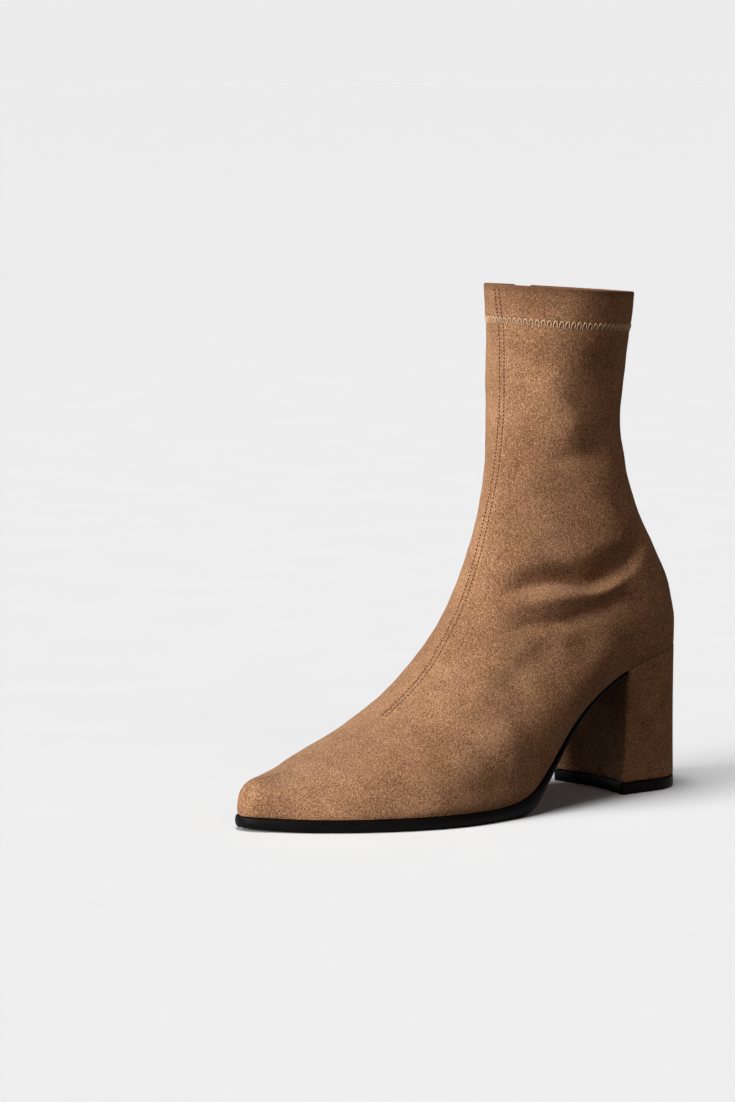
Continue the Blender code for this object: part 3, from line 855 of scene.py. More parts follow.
@dataclass(frozen=True)
class Finishes:
    """All finishes of the boot, each made once."""

    suede: Material
    rubber: Material
    tread: Material
    lining: Material
    sock: Material
    tape: Material
    tan_thread: Material
    brown_thread: Material
    cream_thread: Material
    needle_hole: Material
    chain: Material
    gunmetal: Material
    silver: Material

    @classmethod
    def mixed(cls) -> "Finishes":
        """Mixes every finish.

        Returns:
            The finishes.
        """
        return cls(
            suede=SuedeFinish().material(),
            rubber=RubberFinish().material(),
            tread=RubberFinish("chevron tread rubber", tread=True).material(),
            lining=ClothFinish(
                "knitted lining",
                (0.13, 0.085, 0.055),
                (0.30, 0.215, 0.15),
                bands=((420.0, Bands.UP, 0.35), (336.0, Bands.SLANTED, 0.25)),
                fuzz=(900.0, 0.4),
                light_at=0.75,
                roughness=0.9,
                relief=0.0003,
                specular=0.5,
                sheen=(0.15, 0.5, (1.0, 0.9, 0.8)),
            ).material(),
            sock=SockFinish().material(),
            tape=ClothFinish(
                "woven zip tape",
                (0.014, 0.009, 0.007),
                (0.062, 0.040, 0.028),
                bands=((560.0, Bands.UP, 0.4), (392.0, Bands.SLANTED, 0.35)),
                fuzz=(1500.0, 0.25),
                light_at=0.8,
                roughness=0.85,
                strength=0.6,
                relief=0.0003,
                specular=0.5,
                sheen=(0.1, 0.5, (1.0, 0.9, 0.8)),
            ).material(),
            tan_thread=ClothFinish("tan thread", (0.20, 0.105, 0.05), (0.42, 0.25, 0.13)).material(),
            # Dark brown thread: its darkness is partly painted shade of the stitches sunk in their dents
            brown_thread=ClothFinish(
                "brown thread with painted shade", (0.050, 0.023, 0.011), (0.125, 0.060, 0.030)
            ).material(),
            cream_thread=ClothFinish("cream thread", (0.44, 0.28, 0.165), (0.80, 0.575, 0.39)).material(),
            # Painted shadow: near-black discs where the needle went through the suede
            needle_hole=ClothFinish("needle hole shadow", (0.016, 0.008, 0.005), (0.045, 0.022, 0.012)).material(),
            chain=MetalFinish(
                "bronze zip chain", (0.26, 0.17, 0.10), (0.62, 0.46, 0.30), 0.22, 0.42
            ).material(),
            gunmetal=MetalFinish(
                "dark zip slider", (0.07, 0.068, 0.066), (0.20, 0.19, 0.185), 0.18, 0.36
            ).material(),
            silver=MetalFinish(
                "silver zip pull", (0.46, 0.45, 0.44), (0.74, 0.73, 0.72), 0.20, 0.38
            ).material(),
        )


# Mesh work


def circle(axis: Array, across: Array, sides: int) -> Array:
    """Points of a circle of radius 1 about an axis, from a direction across it."""
    turn = np.linspace(0.0, 2 * math.pi, sides, endpoint=False)[:, None]
    return np.cos(turn) * across + np.sin(turn) * np.cross(axis, across)


@contextmanager
def opened(mesh: bpy.types.Mesh) -> Iterator[bmesh.types.BMesh]:
    """Opens a mesh for work and writes it back.

    Args:
        mesh: the mesh.

    Returns:
        The open mesh, for the length of the work.
    """
    bm = bmesh.new()
    bm.from_mesh(mesh)
    yield bm
    bm.to_mesh(mesh)
    bm.free()


def placed(name: str, data: bpy.types.ID) -> Piece:
    """Puts a new object into the scene.

    Args:
        name: its name.
        data: its mesh, curve, lamp or camera.

    Returns:
        The object.
    """
    made = bpy.data.objects.new(name, data)
    bpy.context.scene.collection.objects.link(made)
    return made


class Pattern:
    """Points and faces collected for one piece, with a finish number for each face."""

    DISC_SIDES = 7
    DOME = 0.25

    def __init__(self) -> None:
        """Starts an empty pattern."""
        self.points: list[Sequence[float]] = []
        self.faces: list[Sequence[int]] = []
        self.finishes: list[int] = []

    def add(self, points: Array, faces: Sequence[Sequence[int]], finish: int = 0) -> None:
        """Adds points and the faces between them.

        Args:
            points: new points.
            faces: faces, counted from the first new point.
            finish: number of the faces' finish.
        """
        start = len(self.points)
        self.points.extend(np.asarray(points, float).tolist())
        self.faces.extend([[start + int(i) for i in face] for face in faces])
        self.finishes.extend([finish] * len(faces))

    def add_loops(self, loops: Sequence[Array]) -> None:
        """Adds a skin over closed loops with the same number of points, and fills the first and last.

        Args:
            loops: the loops in order.
        """
        count = len(loops[0])
        faces: list[Sequence[int]] = []
        for k in range(len(loops) - 1):
            for i in range(count):
                j = (i + 1) % count
                faces.append((k * count + i, k * count + j, (k + 1) * count + j, (k + 1) * count + i))
        faces.append(tuple(range(count - 1, -1, -1)))
        faces.append(tuple((len(loops) - 1) * count + i for i in range(count)))
        self.add(np.concatenate(loops), faces)

    def add_tube(self, path: Array, radius: float, sides: int = 6, blunt: float = 0.55) -> None:
        """Adds a tube along a path with narrowed ends.

        Args:
            path: points of its middle.
            radius: its radius.
            sides: sides of its section.
            blunt: radius of its ends, as a share.
        """
        run = unit(np.gradient(path, axis=0))
        hint = np.array([0.0, 0.0, 1.0]) if abs(run[0][2]) < UPRIGHT else np.array([0.0, 1.0, 0.0])
        across = unit(np.cross(run[0], hint))
        loops = []
        for k, point in enumerate(path):
            across = unit(across - run[k] * float(across @ run[k]))
            size = radius * (blunt if k in (0, len(path) - 1) else 1.0)
            loops.append(point + size * circle(run[k], across, sides))
        self.add_loops(loops)

    def add_disc(self, centre: Array, facing: Array, radius: float, finish: int) -> None:
        """Adds a shallow domed disc.

        Args:
            centre: its middle.
            facing: the direction that it faces.
            radius: its radius.
            finish: number of the faces' finish.
        """
        hint = np.array([0.0, 0.0, 1.0]) if abs(facing[2]) < UPRIGHT else np.array([1.0, 0.0, 0.0])
        across = unit(np.cross(facing, hint))
        rim = centre + radius * circle(facing, across, self.DISC_SIDES)
        top = centre + self.DOME * radius * facing
        faces = [(i, (i + 1) % len(rim), len(rim)) for i in range(len(rim))]
        self.add(np.vstack([rim, top]), faces, finish)

    def make(
        self, name: str, finishes: Sequence[Material], weld: float = WELD, turn_out: bool = False
    ) -> Piece:
        """Makes the piece.

        Args:
            name: its name.
            finishes: materials in the order of the finish numbers.
            weld: distance under which points are joined.
            turn_out: whether its faces are turned outwards.

        Returns:
            The new object.
        """
        mesh = bpy.data.meshes.new(name)
        mesh.from_pydata(self.points, [], self.faces)
        mesh.polygons.foreach_set("material_index", self.finishes)
        with opened(mesh) as bm:
            bmesh.ops.remove_doubles(bm, verts=bm.verts, dist=weld)
            loose = [v for v in bm.verts if not v.link_faces]
            bmesh.ops.delete(bm, geom=loose, context="VERTS")
            if turn_out:
                bmesh.ops.recalc_face_normals(bm, faces=bm.faces)
        return object_of(name, mesh, finishes)


def object_of(name: str, mesh: bpy.types.Mesh, finishes: Sequence[Material]) -> Piece:
    """Puts a mesh into the scene with its finishes.

    Args:
        name: the piece's name.
        mesh: its mesh.
        finishes: its materials.

    Returns:
        The new object.
    """
    for finish in finishes:
        mesh.materials.append(finish)
    mesh.shade_smooth()
    mesh.set_sharp_from_angle(angle=CREASE)
    return placed(name, mesh)


def settle(piece: Piece, slot: Slot, *nodes: str, body: Body = Body.BOOT) -> None:
    """Seats a piece on the part and reports it.

    Args:
        piece: the piece.
        slot: the part's material slot for its finish; not used.
        nodes: the part's nodes that it stands for.
        body: the body that it rides on.
    """
    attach(piece, body.value)
    if nodes:
        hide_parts(*nodes)
    piece.data.calc_loop_triangles()
    log.info("%s: %d triangles", piece.name, len(piece.data.loop_triangles))


# The upper


@dataclass(frozen=True)
class Fold:
    """A soft trough or ridge along a line, drawn in x and z in millimetres."""

    line: Pairs
    rise: float
    above: float
    below: float
    fade: float = 0.3
    samples: int = 48

    def relief(self, x: Array, z: Array) -> Array:
        """Height of the fold.

        Args:
            x: places along the foot in metres.
            z: heights in metres.

        Returns:
            Heights over the plain wall in metres.
        """
        marks = np.array(self.line, float) * MM
        reach = lengths(marks)
        wanted = np.linspace(0.0, reach[-1], self.samples)
        line = np.stack([Spline(reach, marks[:, k])(wanted) for k in range(2)], axis=1)
        away = (x[:, None] - line[:, 0]) ** 2 + (z[:, None] - line[:, 1]) ** 2
        nearest = np.argmin(away, axis=1)
        distance = np.sqrt(away[np.arange(len(x)), nearest])
        width = np.where(z > line[nearest, 1], self.above, self.below) * MM
        along = nearest / (self.samples - 1)
        ends = soft_step(along, 0.0, self.fade) * soft_step(1 - along, 0.0, self.fade)
        return self.rise * MM * hump(distance, width) * ends


FOLDS = {
    Side.OUTER: (
        Fold(
            (
                (-4, 106), (-24, 108), (-36, 109), (-49, 108), (-56, 106.5), (-65, 108.5), (-75, 113),
                (-92, 127),
            ),
            -4.2, 5.2, 3.3, 0.22,
        ),
        Fold(((-48, 110), (-62, 112), (-77, 118), (-95, 131)), -1.7, 8.0, 4.0),
        Fold(((-4, 115), (-22, 117.5), (-42, 119.5), (-62, 124), (-82, 132)), 1.2, 8.0, 4.6, 0.25),
        Fold(
            ((2, 97), (-23, 99.6), (-42, 101), (-55, 102.4), (-68, 105), (-82, 109)),
            2.3, 3.2, 3.8, 0.2,
        ),
        Fold(
            ((-2, 86), (-22, 89.5), (-36, 90.2), (-49, 92.2), (-62, 95.1), (-72, 98), (-84, 99.5)),
            -2.3, 3.4, 4.8, 0.22,
        ),
        Fold(((-80, 86), (-62, 73), (-45, 61), (-20, 47), (5, 36), (26, 27)), 3.2, 12.0, 15.0, 0.2),
        Fold(((-72, 82), (-84, 86), (-98, 88)), 0.8, 8.0, 8.0),
        Fold(((8, 56), (-5, 64), (-22, 76), (-37, 84)), -0.8, 5.0, 7.0),
        Fold(((-30, 216), (-38, 198), (-47, 172)), 1.8, 8.0, 8.0),
        Fold(((-57, 230), (-61, 202), (-66, 180), (-76, 158)), -3.2, 22.0, 21.0),
        Fold(((-32, 165), (-43, 168), (-56, 170), (-72, 167)), -1.0, 4.0, 4.0),
        Fold(((-44, 133), (-60, 137), (-76, 143)), 0.6, 8.0, 6.0),
        Fold(((-78, 138), (-88, 132), (-98, 122)), -0.8, 4.0, 4.0),
    ),
    Side.INNER: (
        Fold(((-54, 136.5), (-44, 134), (-34, 130), (-22, 126)), -1.5, 4.5, 3.0, 0.4),
        Fold(((-54, 145), (-42, 143), (-28, 137)), 0.8, 5.0, 4.0, 0.4),
        Fold(((-58, 82), (-50, 78), (-40, 73), (-28, 66)), -1.2, 4.0, 4.0, 0.4),
        Fold(((-8, 104), (-24, 106), (-40, 110), (-55, 113)), -1.0, 6.0, 4.0),
        Fold(((-6, 93), (-24, 96), (-42, 98), (-56, 99)), 0.7, 4.5, 4.5),
        Fold(((-40, 49), (-30, 55), (-16, 62)), -0.5, 5.0, 6.0),
        Fold(((-78, 120), (-88, 124), (-96, 131)), -0.9, 5.0, 4.0),
        Fold(((-78, 106), (-90, 108), (-102, 112)), 0.6, 4.0, 5.0),
    ),
}


class Wave(NamedTuple):
    """A slow wave over the wall: its share and two sines, each by x, y and z factors and a start."""

    share: float
    first: Quad
    second: Quad


WAVES = (
    Wave(1.0, (170, 0, 60, 0.7), (0, -90, 140, 1.9)),
    Wave(0.6, (310, 0, -190, 2.1), (0, 260, 240, 0.4)),
)


class StitchRow(NamedTuple):
    """A stitch row up the leg: its lowest and highest z, its marks, and how far it lies behind a line."""

    foot: float
    top: float
    marks: int
    behind: float


@dataclass
class ZipLine:
    """The zip's straight line down the inner side, and the slit along it."""

    last: Last
    top: Span = (-0.0630, 0.2420)
    foot: Span = (-0.0700, 0.0860)
    slit_width: float = 0.0086
    slit_y: float = -0.0170
    overshoot: float = 0.010
    step: float = 0.0005
    turn: int = 14

    def x(self, z: Array) -> Array:
        """X of the line at a height."""
        (foot_x, foot_z), (top_x, top_z) = self.foot, self.top
        return foot_x + (z - foot_z) / (top_z - foot_z) * (top_x - foot_x)

    def about(self, place: Vector, reach: float) -> bool:
        """Whether a place lies within a reach of the slit."""
        beside = abs(place.x - self.x(place.z)) < reach
        return beside and place.y < self.slit_y and place.z > self.foot[1] - reach

    def frame(self, x: float, z: float) -> tuple[Array, Array, Array, Array]:
        """Axes of the wall's outer face.

        Args:
            x: place along the foot.
            z: height.

        Returns:
            The place, and the directions across to the heel, out of the wall and up the leg.
        """
        point, step = self.last.wall_point, self.step
        place = point(x, z, Side.INNER)
        across = point(x + step, z, Side.INNER) - point(x - step, z, Side.INNER)
        above, below = (point(float(self.x(h)), h, Side.INNER) for h in (z + step, z - step))
        out = unit(np.cross(across, above - below))
        up = unit(above - below)
        return place, np.cross(out, up), out, up

    def outline(self, grown: float) -> list[tuple[float, float]]:
        """The slit's outline from its front top, round its foot, to its back top.

        Args:
            grown: how much wider than the slit it is on each side.

        Returns:
            Points in x and z.
        """
        half = self.slit_width / 2 + grown
        high = self.last.boot_height + self.overshoot
        foot_x, foot_z = self.foot
        angles = np.linspace(0.0, -math.pi, self.turn)
        round_foot = [(foot_x + half * math.cos(a), foot_z + half * math.sin(a)) for a in angles]
        return [(float(self.x(high)) + half, high), *round_foot, (float(self.x(high)) - half, high)]

    def cut(self, bm: bmesh.types.BMesh, grown: float) -> None:
        """Opens the slit in a mesh of the upper.

        Args:
            bm: the mesh.
            grown: how much wider than the slit the opening is on each side.
        """
        outline = self.outline(grown)
        reach = self.slit_width + grown
        faces = [face for face in bm.faces if self.about(face.calc_center_median(), reach)]
        geometry = list({*faces, *(e for f in faces for e in f.edges), *(v for f in faces for v in f.verts)})
        walls = []
        for (x0, z0), (x1, z1) in zip(outline, outline[1:]):
            walls.append((Vector((x0, 0.0, z0)), Vector((z1 - z0, 0.0, x0 - x1)).normalized()))
        for place, facing in walls:
            cut = bmesh.ops.bisect_plane(
                bm, geom=geometry, dist=CLOSE_WELD, plane_co=place, plane_no=facing
            )
            geometry = [g for g in cut["geom"] if g.is_valid]
        inside = []
        for face in bm.faces:
            centre = face.calc_center_median()
            within = ((centre - place).dot(facing) > 0.0 for place, facing in walls)
            if self.about(centre, reach) and all(within):
                inside.append(face)
        bmesh.ops.delete(bm, geom=inside, context="FACES")


class Net:
    """Points over the last in rows and columns, welded at the toe's tip and along the back seam.

    The foot's rows mix even and eased spacing, and the leg's rows climb by a power.
    """

    EVEN, EASED = 0.55, 0.45
    CLIMB = 1.15
    NO_EDGE = 1.0

    def __init__(self, last: Last, foot_rows: int, leg_rows: int, columns: int) -> None:
        """Lays the net.

        Args:
            last: the form under it.
            foot_rows: rows from the tip to the heel.
            leg_rows: rows from the heel to the collar.
            columns: columns on each side of the front seam.
        """
        share = np.linspace(0.0, 1.0, foot_rows)
        share = self.EVEN * share + self.EASED * (1 - np.cos(math.pi * share)) / 2
        rise = np.linspace(0.0, 1.0, leg_rows + 1)[1:] ** self.CLIMB
        leg = last.heel_station + rise * (last.collar_station - last.heel_station)
        stations = np.concatenate([last.heel_station * share, leg])
        self.points = np.stack([last.section(float(s), columns) for s in stations])
        self.heel_row = foot_rows - 1
        self.ridge = columns
        outer = np.arange(2 * columns + 1) <= columns
        self.side = np.where(outer, Side.OUTER.value, Side.INNER.value)
        steps = np.linalg.norm(np.diff(self.points, axis=1), axis=2)
        girth = np.concatenate([np.zeros((len(stations), 1)), np.cumsum(steps, axis=1)], axis=1)
        self.across = girth - girth[:, columns : columns + 1]
        self.from_edge = np.minimum(girth, girth[:, -1:] - girth)
        self.from_edge[self.heel_row :] = self.NO_EDGE
        climbs = np.linalg.norm(np.diff(self.points, axis=0), axis=2)
        climbed = np.concatenate([np.zeros((1, self.points.shape[1])), np.cumsum(climbs, axis=0)])
        self.below = climbed[-1:] - climbed
        self.normals = self.facing()

    def numbers(self, rows: int) -> Array:
        """Numbers the points, with welded points sharing a number.

        Args:
            rows: rows of points.

        Returns:
            The numbers in rows and columns.
        """
        count = self.points.shape[1]
        ids = np.arange(rows * count).reshape(rows, count)
        ids[0, :] = 0
        ids[self.heel_row :, -1] = ids[self.heel_row :, 0]
        return ids

    def quads(self, rows: int) -> Array:
        """Lays faces between the points, facing out.

        Args:
            rows: rows of points.

        Returns:
            Four point numbers for each face.
        """
        ids = self.numbers(rows)
        corners = (ids[:-1, :-1], ids[1:, :-1], ids[1:, 1:], ids[:-1, 1:])
        return np.stack(corners, axis=-1).reshape(-1, 4)

    def facing(self) -> Array:
        """Finds which way the wall faces.

        Returns:
            Outward directions at the points.
        """
        flat = self.points.reshape(-1, 3)
        corners = self.quads(len(self.points)).T
        a, b, c, d = (flat[corner] for corner in corners)
        total = np.zeros_like(flat)
        for corner in corners:
            np.add.at(total, corner, np.cross(c - a, d - b))
        return unit(total[self.numbers(len(self.points))])


@dataclass
class Upper:
    """The suede upper, its lining, and its seams and stitches."""

    last: Last
    zip_line: ZipLine
    finishes: Finishes
    foot_rows: int = 185
    leg_rows: int = 110
    columns: int = 142
    lining_rows: tuple[int, int] = (70, 44)
    lining_columns: int = 44
    lining_depth: float = 0.00165
    lining_follows: float = 0.8
    lining_slit: float = 0.0002
    roll: float = 0.00095
    roll_steps: int = 7
    hem: float = 0.0170
    hem_rise: float = 0.0004
    hem_step: Span = (0.0005, 0.0022)
    hem_pull: Ripple = Ripple(-0.28, 0.0, 2.2)
    edge_roll: float = 0.0008
    edge_steps: int = 6
    lasting: Span = (0.0005, 0.0040)
    lasting_drop: float = 0.00013
    unevenness: float = 0.0002
    seam_calm: Span = (0.004, 0.016)
    sole_calm: Span = (0.001, 0.009)
    ball: Quad = (-0.025, 0.0, 0.045, 0.075)
    ball_swell: Ripple = Ripple(1.1, 3.5, 5.0)
    tuck: float = 0.0005
    tuck_width: float = 0.0026
    placket: float = 0.0070
    placket_rise: float = 0.0008
    placket_side_y: float = -0.012
    placket_knots: tuple[float, ...] = (0.050, 0.060, 0.073, 0.090, 0.167, 0.250)
    placket_toe: tuple[float, ...] = (-0.0540, -0.0570, -0.0588)
    placket_strip: Quad = (-0.0003, 0.0009, 0.0065, 0.012)
    placket_grooves: tuple[Ripple, ...] = (Ripple(-0.30, 1.7, 0.7), Ripple(-0.35, -0.7, 1.0))
    placket_foot: Span = (0.050, 0.058)
    rear_rise: float = 0.00035
    rear_strip: Quad = (-0.004, -0.001, 0.003, 0.007)
    rear_foot: Span = (0.080, 0.090)
    front_row: StitchRow = StitchRow(0.0575, 0.2445, 70, 0.0017)
    rear_row: StitchRow = StitchRow(0.0860, 0.2425, 60, 0.0072)
    placket_pitch: float = 0.0022
    placket_thread: float = 0.0002
    seam_end_x: float = 0.0475
    seam_fade: Span = (0.004, 0.006)
    seam_toe: Span = (0.002, 0.009)
    seam_ripples: tuple[Ripple, ...] = (
        Ripple(-0.20, 1.7, 0.45),
        Ripple(0.14, 0.85, 0.5),
        Ripple(0.24, 3.8, 1.8),
    )
    seam_groove: Ripple = Ripple(-0.16, 0.0, 0.6)
    toe_groove: Ripple = Ripple(-0.18, 0.0, 0.6)
    seam_gap: float = 0.0034
    seam_top: float = 0.0008
    seam_pitch: float = 0.00185
    seam_thread: float = 0.0003
    stitch_fill: float = 0.56
    stitch_arc: Pairs = (
        (0.0, -0.4), (0.25, 0.55), (0.5, 0.8), (0.75, 0.55), (1.0, -0.4),
    )
    # Radius of the dark discs of painted shadow where the needle went in
    needle_hole: float = 0.0003
    hole_lift: float = 0.00002
    zigzag: Span = (0.0152, 0.0186)
    zigzag_pitch: float = 0.0030
    zigzag_thread: float = 0.00029
    zigzag_span: float = 0.74
    zigzag_margin: float = 0.0012
    arch_steps: int = 20
    arch_points: int = 11
    arch_power: float = 2.5
    arch_lifts: Span = (-0.3, 0.6)

    def placket_front(self, z: Array) -> Array:
        """Draws the placket's front edge.

        Args:
            z: heights.

        Returns:
            X of the edge at each height.
        """
        knots, toe = self.placket_knots, self.placket_toe
        edge = self.zip_line.slit_width / 2 + self.placket
        places = [*toe, *(float(self.zip_line.x(k)) + edge for k in knots[len(toe) :])]
        return Spline(knots, places)(np.clip(z, knots[0], knots[-1]))

    def relief(self, net: Net) -> Array:
        """Height of the suede over the plain last.

        Args:
            net: the points.

        Returns:
            A height for each point.
        """
        x, z = net.points[..., 0], net.points[..., 2]
        height = np.zeros(x.shape)
        for side, folds in FOLDS.items():
            columns = net.side == side.value
            for fold in folds:
                rise = fold.relief(x[:, columns].ravel(), z[:, columns].ravel())
                height[:, columns] += rise.reshape(-1, columns.sum())
        height *= soft_step(np.abs(net.across), *self.seam_calm)
        height += self.waves(net)
        height *= soft_step(net.from_edge, *self.sole_calm)
        height += self.front_seam(net) + self.collar_hem(net) + self.zip_placket(net)
        height += self.ball_swell.over(net.from_edge) * plateau(x, *self.ball)
        tuck = 1 - np.clip(net.from_edge / self.tuck_width, 0.0, 1.0)
        return height - self.tuck * tuck**2

    def waves(self, net: Net) -> Array:
        """Slow hand-made unevenness of the wall.

        Args:
            net: the points.

        Returns:
            A height for each point.
        """

        def sine(x: float, y: float, z: float, start: float) -> Array:
            """A sine over the points."""
            return np.sin(net.points @ np.array([x, y, z]) + start)

        return self.unevenness * sum(w.share * sine(*w.first) * sine(*w.second) for w in WAVES)

    def front_seam(self, net: Net) -> Array:
        """A fine groove from the collar to the toe, with stitched dents beside it down to the vamp.

        Args:
            net: the points.

        Returns:
            A height for each point.
        """
        before, after = self.seam_fade
        plain = soft_step(net.points[..., 0], self.seam_end_x - before, self.seam_end_x + after)
        away = np.abs(net.across)
        stitched = sum(ripple.over(away) for ripple in self.seam_ripples)
        groove = self.seam_groove.over(away) + self.toe_groove.over(away) * plain
        tip = soft_step(net.below.max() - net.below, *self.seam_toe)
        return (stitched * (1 - plain) + groove) * tip

    def collar_hem(self, net: Net) -> Array:
        """The turned-in collar: thicker above its stitching, pulled in along it.

        Args:
            net: the points.

        Returns:
            A height for each point.
        """
        middle = sum(self.zigzag) / 2
        above, under = self.hem_step
        leg = (np.arange(len(net.points)) > net.heel_row)[:, None]
        band = self.hem_rise * (1 - soft_step(net.below, middle - above, middle + under))
        return (band + self.hem_pull.over(net.below - middle)) * leg

    def zip_placket(self, net: Net) -> Array:
        """The folded strip in front of the zip and the low edge behind it, on the inner side.

        Args:
            net: the points.

        Returns:
            A height for each point.
        """
        x, y, z = (net.points[..., k] for k in range(3))
        inner = (net.side == Side.INNER.value)[None, :] & (y < self.placket_side_y)
        behind = self.placket_front(z) - x
        strip = self.placket_rise * plateau(behind, *self.placket_strip)
        groove = sum(ripple.over(behind) for ripple in self.placket_grooves)
        past = behind - self.placket - self.zip_line.slit_width
        rear = self.rear_rise * plateau(past, *self.rear_strip) * soft_step(z, *self.rear_foot)
        return (strip + groove + rear) * soft_step(z, *self.placket_foot) * inner

    def skin(self, net: Net) -> Pattern:
        """The suede's points and faces, with the collar rolled in and the lasting edge turned under.

        Args:
            net: the points over the last.

        Returns:
            The pattern of the suede.
        """
        points = net.points + net.normals * self.relief(net)[..., None]
        self.surface = points
        top, facing = points[-1], net.normals[-1]
        climb = top - points[-3]
        climb = unit(climb - facing * np.sum(climb * facing, axis=1, keepdims=True))
        rows = list(points)
        for angle in np.linspace(0.0, math.pi, self.roll_steps + 1)[1:]:
            rows.append(top + self.roll * (math.sin(angle) * climb - (1 - math.cos(angle)) * facing))
        for k in range(2, self.leg_rows, 2):
            if float(np.mean(net.below[-1 - k])) > self.hem:
                break
            rows.append(points[-1 - k] - 2 * self.roll * net.normals[-1 - k])
        pattern = Pattern()
        faces = [face if face[0] != face[3] else face[:3] for face in net.quads(len(rows)).tolist()]
        pattern.add(np.concatenate(rows), faces)
        for column in (0, -1):
            pattern.add(*self.turned_under(net, points, column))
        return pattern

    def turned_under(self, net: Net, points: Array, column: int) -> tuple[Array, list[tuple[int, ...]]]:
        """The lasting edge along one side of the sole.

        Args:
            net: the points over the last.
            points: the same points with their relief.
            column: first or last column.

        Returns:
            The points and faces of the strip.
        """
        rows = slice(1, net.heel_row + 1)
        edge = points[rows, column]
        inward = unit(-net.normals[rows, column] * np.array([1.0, 1.0, 0.0]))
        drop = np.array([0.0, 0.0, self.lasting_drop])
        turned = [edge + reach * inward - drop for reach in self.lasting]
        count = len(edge)
        faces = []
        for line in range(len(turned)):
            for i in range(line * count, (line + 1) * count - 1):
                face = (i, i + count, i + count + 1, i + 1)
                faces.append(face if column == -1 else tuple(reversed(face)))
        return np.vstack([edge, *turned]), faces

    def roll_slit_edge(self, bm: bmesh.types.BMesh) -> None:
        """Rolls the suede's edge in, all along the slit.

        Args:
            bm: the suede's mesh with the slit cut.
        """
        reach = self.zip_line.slit_width
        edges = []
        for edge in bm.edges:
            middle = (edge.verts[0].co + edge.verts[1].co) / 2
            if edge.is_boundary and self.zip_line.about(middle, reach):
                edges.append(edge)
        bm.normal_update()
        first = {}
        for edge in edges:
            for vert in edge.verts:
                first.setdefault(vert, []).append(edge)
        rings: dict[bmesh.types.BMVert, list[bmesh.types.BMVert]] = {}
        for vert, around in first.items():
            facing = vert.normal
            into = Vector()
            for edge in around:
                run = (edge.verts[1].co - edge.verts[0].co).normalized()
                side = run.cross(facing)
                face_side = edge.link_faces[0].calc_center_median() - vert.co
                into += -side if side.dot(face_side) > 0 else side
            into = (into - facing * into.dot(facing)).normalized()
            line = [vert]
            for angle in np.linspace(0.0, math.pi, self.edge_steps + 1)[1:]:
                offset = into * math.sin(angle) - facing * (1 - math.cos(angle))
                line.append(bm.verts.new(vert.co + self.edge_roll * offset))
            rings[vert] = line
        for edge in edges:
            loop = edge.link_loops[0]
            start, end = loop.vert, loop.link_loop_next.vert
            for k in range(self.edge_steps):
                quad = (rings[end][k], rings[start][k], rings[start][k + 1], rings[end][k + 1])
                bm.faces.new(quad)

    def build_suede(self) -> None:
        """The suede outside of the upper."""
        self.net = Net(self.last, self.foot_rows, self.leg_rows, self.columns)
        piece = self.skin(self.net).make("upper_suede", [self.finishes.suede])
        with opened(piece.data) as bm:
            self.tree = BVHTree.FromBMesh(bm)
            self.zip_line.cut(bm, self.edge_roll)
            self.roll_slit_edge(bm)
        piece.data.shade_smooth()
        settle(piece, Slot.SUEDE, "upper")

    def build_lining(self) -> None:
        """The lining inside the upper."""
        net = Net(self.last, *self.lining_rows, self.lining_columns)
        depth = self.lining_follows * self.relief(net) - self.lining_depth
        inside = (net.points + net.normals * depth[..., None])[:-1]
        quads = net.quads(len(inside))[:, [0, 3, 2, 1]].tolist()
        pattern = Pattern()
        pattern.add(inside.reshape(-1, 3), [f if f[0] != f[1] else f[1:] for f in quads])
        piece = pattern.make("upper_lining", [self.finishes.lining])
        with opened(piece.data) as bm:
            self.zip_line.cut(bm, self.lining_slit)
        piece.data.shade_smooth()
        settle(piece, Slot.LINING)

    def on_suede(self, point: Array) -> tuple[Array, Array]:
        """The nearest place on the suede, and the direction that it faces."""
        place, facing, _, _ = self.tree.find_nearest(Vector(point))
        return np.array(place), np.array(facing)

    def paint_hole_shadow(self, stitches: Pattern, point: Array) -> None:
        """Adds a dark disc of painted shadow where the needle went in, on the suede nearest to a point."""
        place, facing = self.on_suede(point)
        stitches.add_disc(place + self.hole_lift * facing, facing, self.needle_hole, finish=1)

    def sew(self, stitches: Pattern, line: Array, pitch: float, radius: float, hole_shadows: bool = True) -> None:
        """Sews a row of stitches.

        Args:
            stitches: the pattern that they are added to, thread first and the discs of painted shadow second.
            line: points of the row.
            pitch: length from one stitch to the next.
            radius: radius of the thread.
            hole_shadows: whether dark discs of painted shadow, where the needle went in, show between the
                stitches.
        """
        marks = spaced(line, max(int(round(lengths(line)[-1] / pitch)), 1))
        for start, end in zip(marks, marks[1:]):
            path = []
            for share, lift in self.stitch_arc:
                spot = start + (end - start) * (0.5 + self.stitch_fill * (share - 0.5))
                place, facing = self.on_suede(spot)
                path.append(place + lift * radius * facing)
            stitches.add_tube(np.array(path), radius)
            # Painted shadow where the needle went in
            if hole_shadows:
                self.paint_hole_shadow(stitches, start)

    def build_front_stitches(self) -> None:
        """The two stitch rows beside the front seam, from the collar to the vamp, darkened with painted
        shade.
        """
        stitches = Pattern()
        for side in (-1, 1):
            line = []
            away = side * self.seam_gap / 2
            for row in range(len(self.surface) - 1, 0, -1):
                across, surface = self.net.across[row], self.surface[row]
                place = [np.interp(away, across, surface[:, k]) for k in range(3)]
                if place[0] > self.seam_end_x:
                    break
                if self.net.below[row, self.net.ridge] > self.seam_top:
                    line.append(place)
            self.sew(stitches, np.array(line), self.seam_pitch, self.seam_thread, hole_shadows=False)
        settle(stitches.make("front_seam_stitches", [self.finishes.brown_thread], FINE_WELD), Slot.SUEDE)

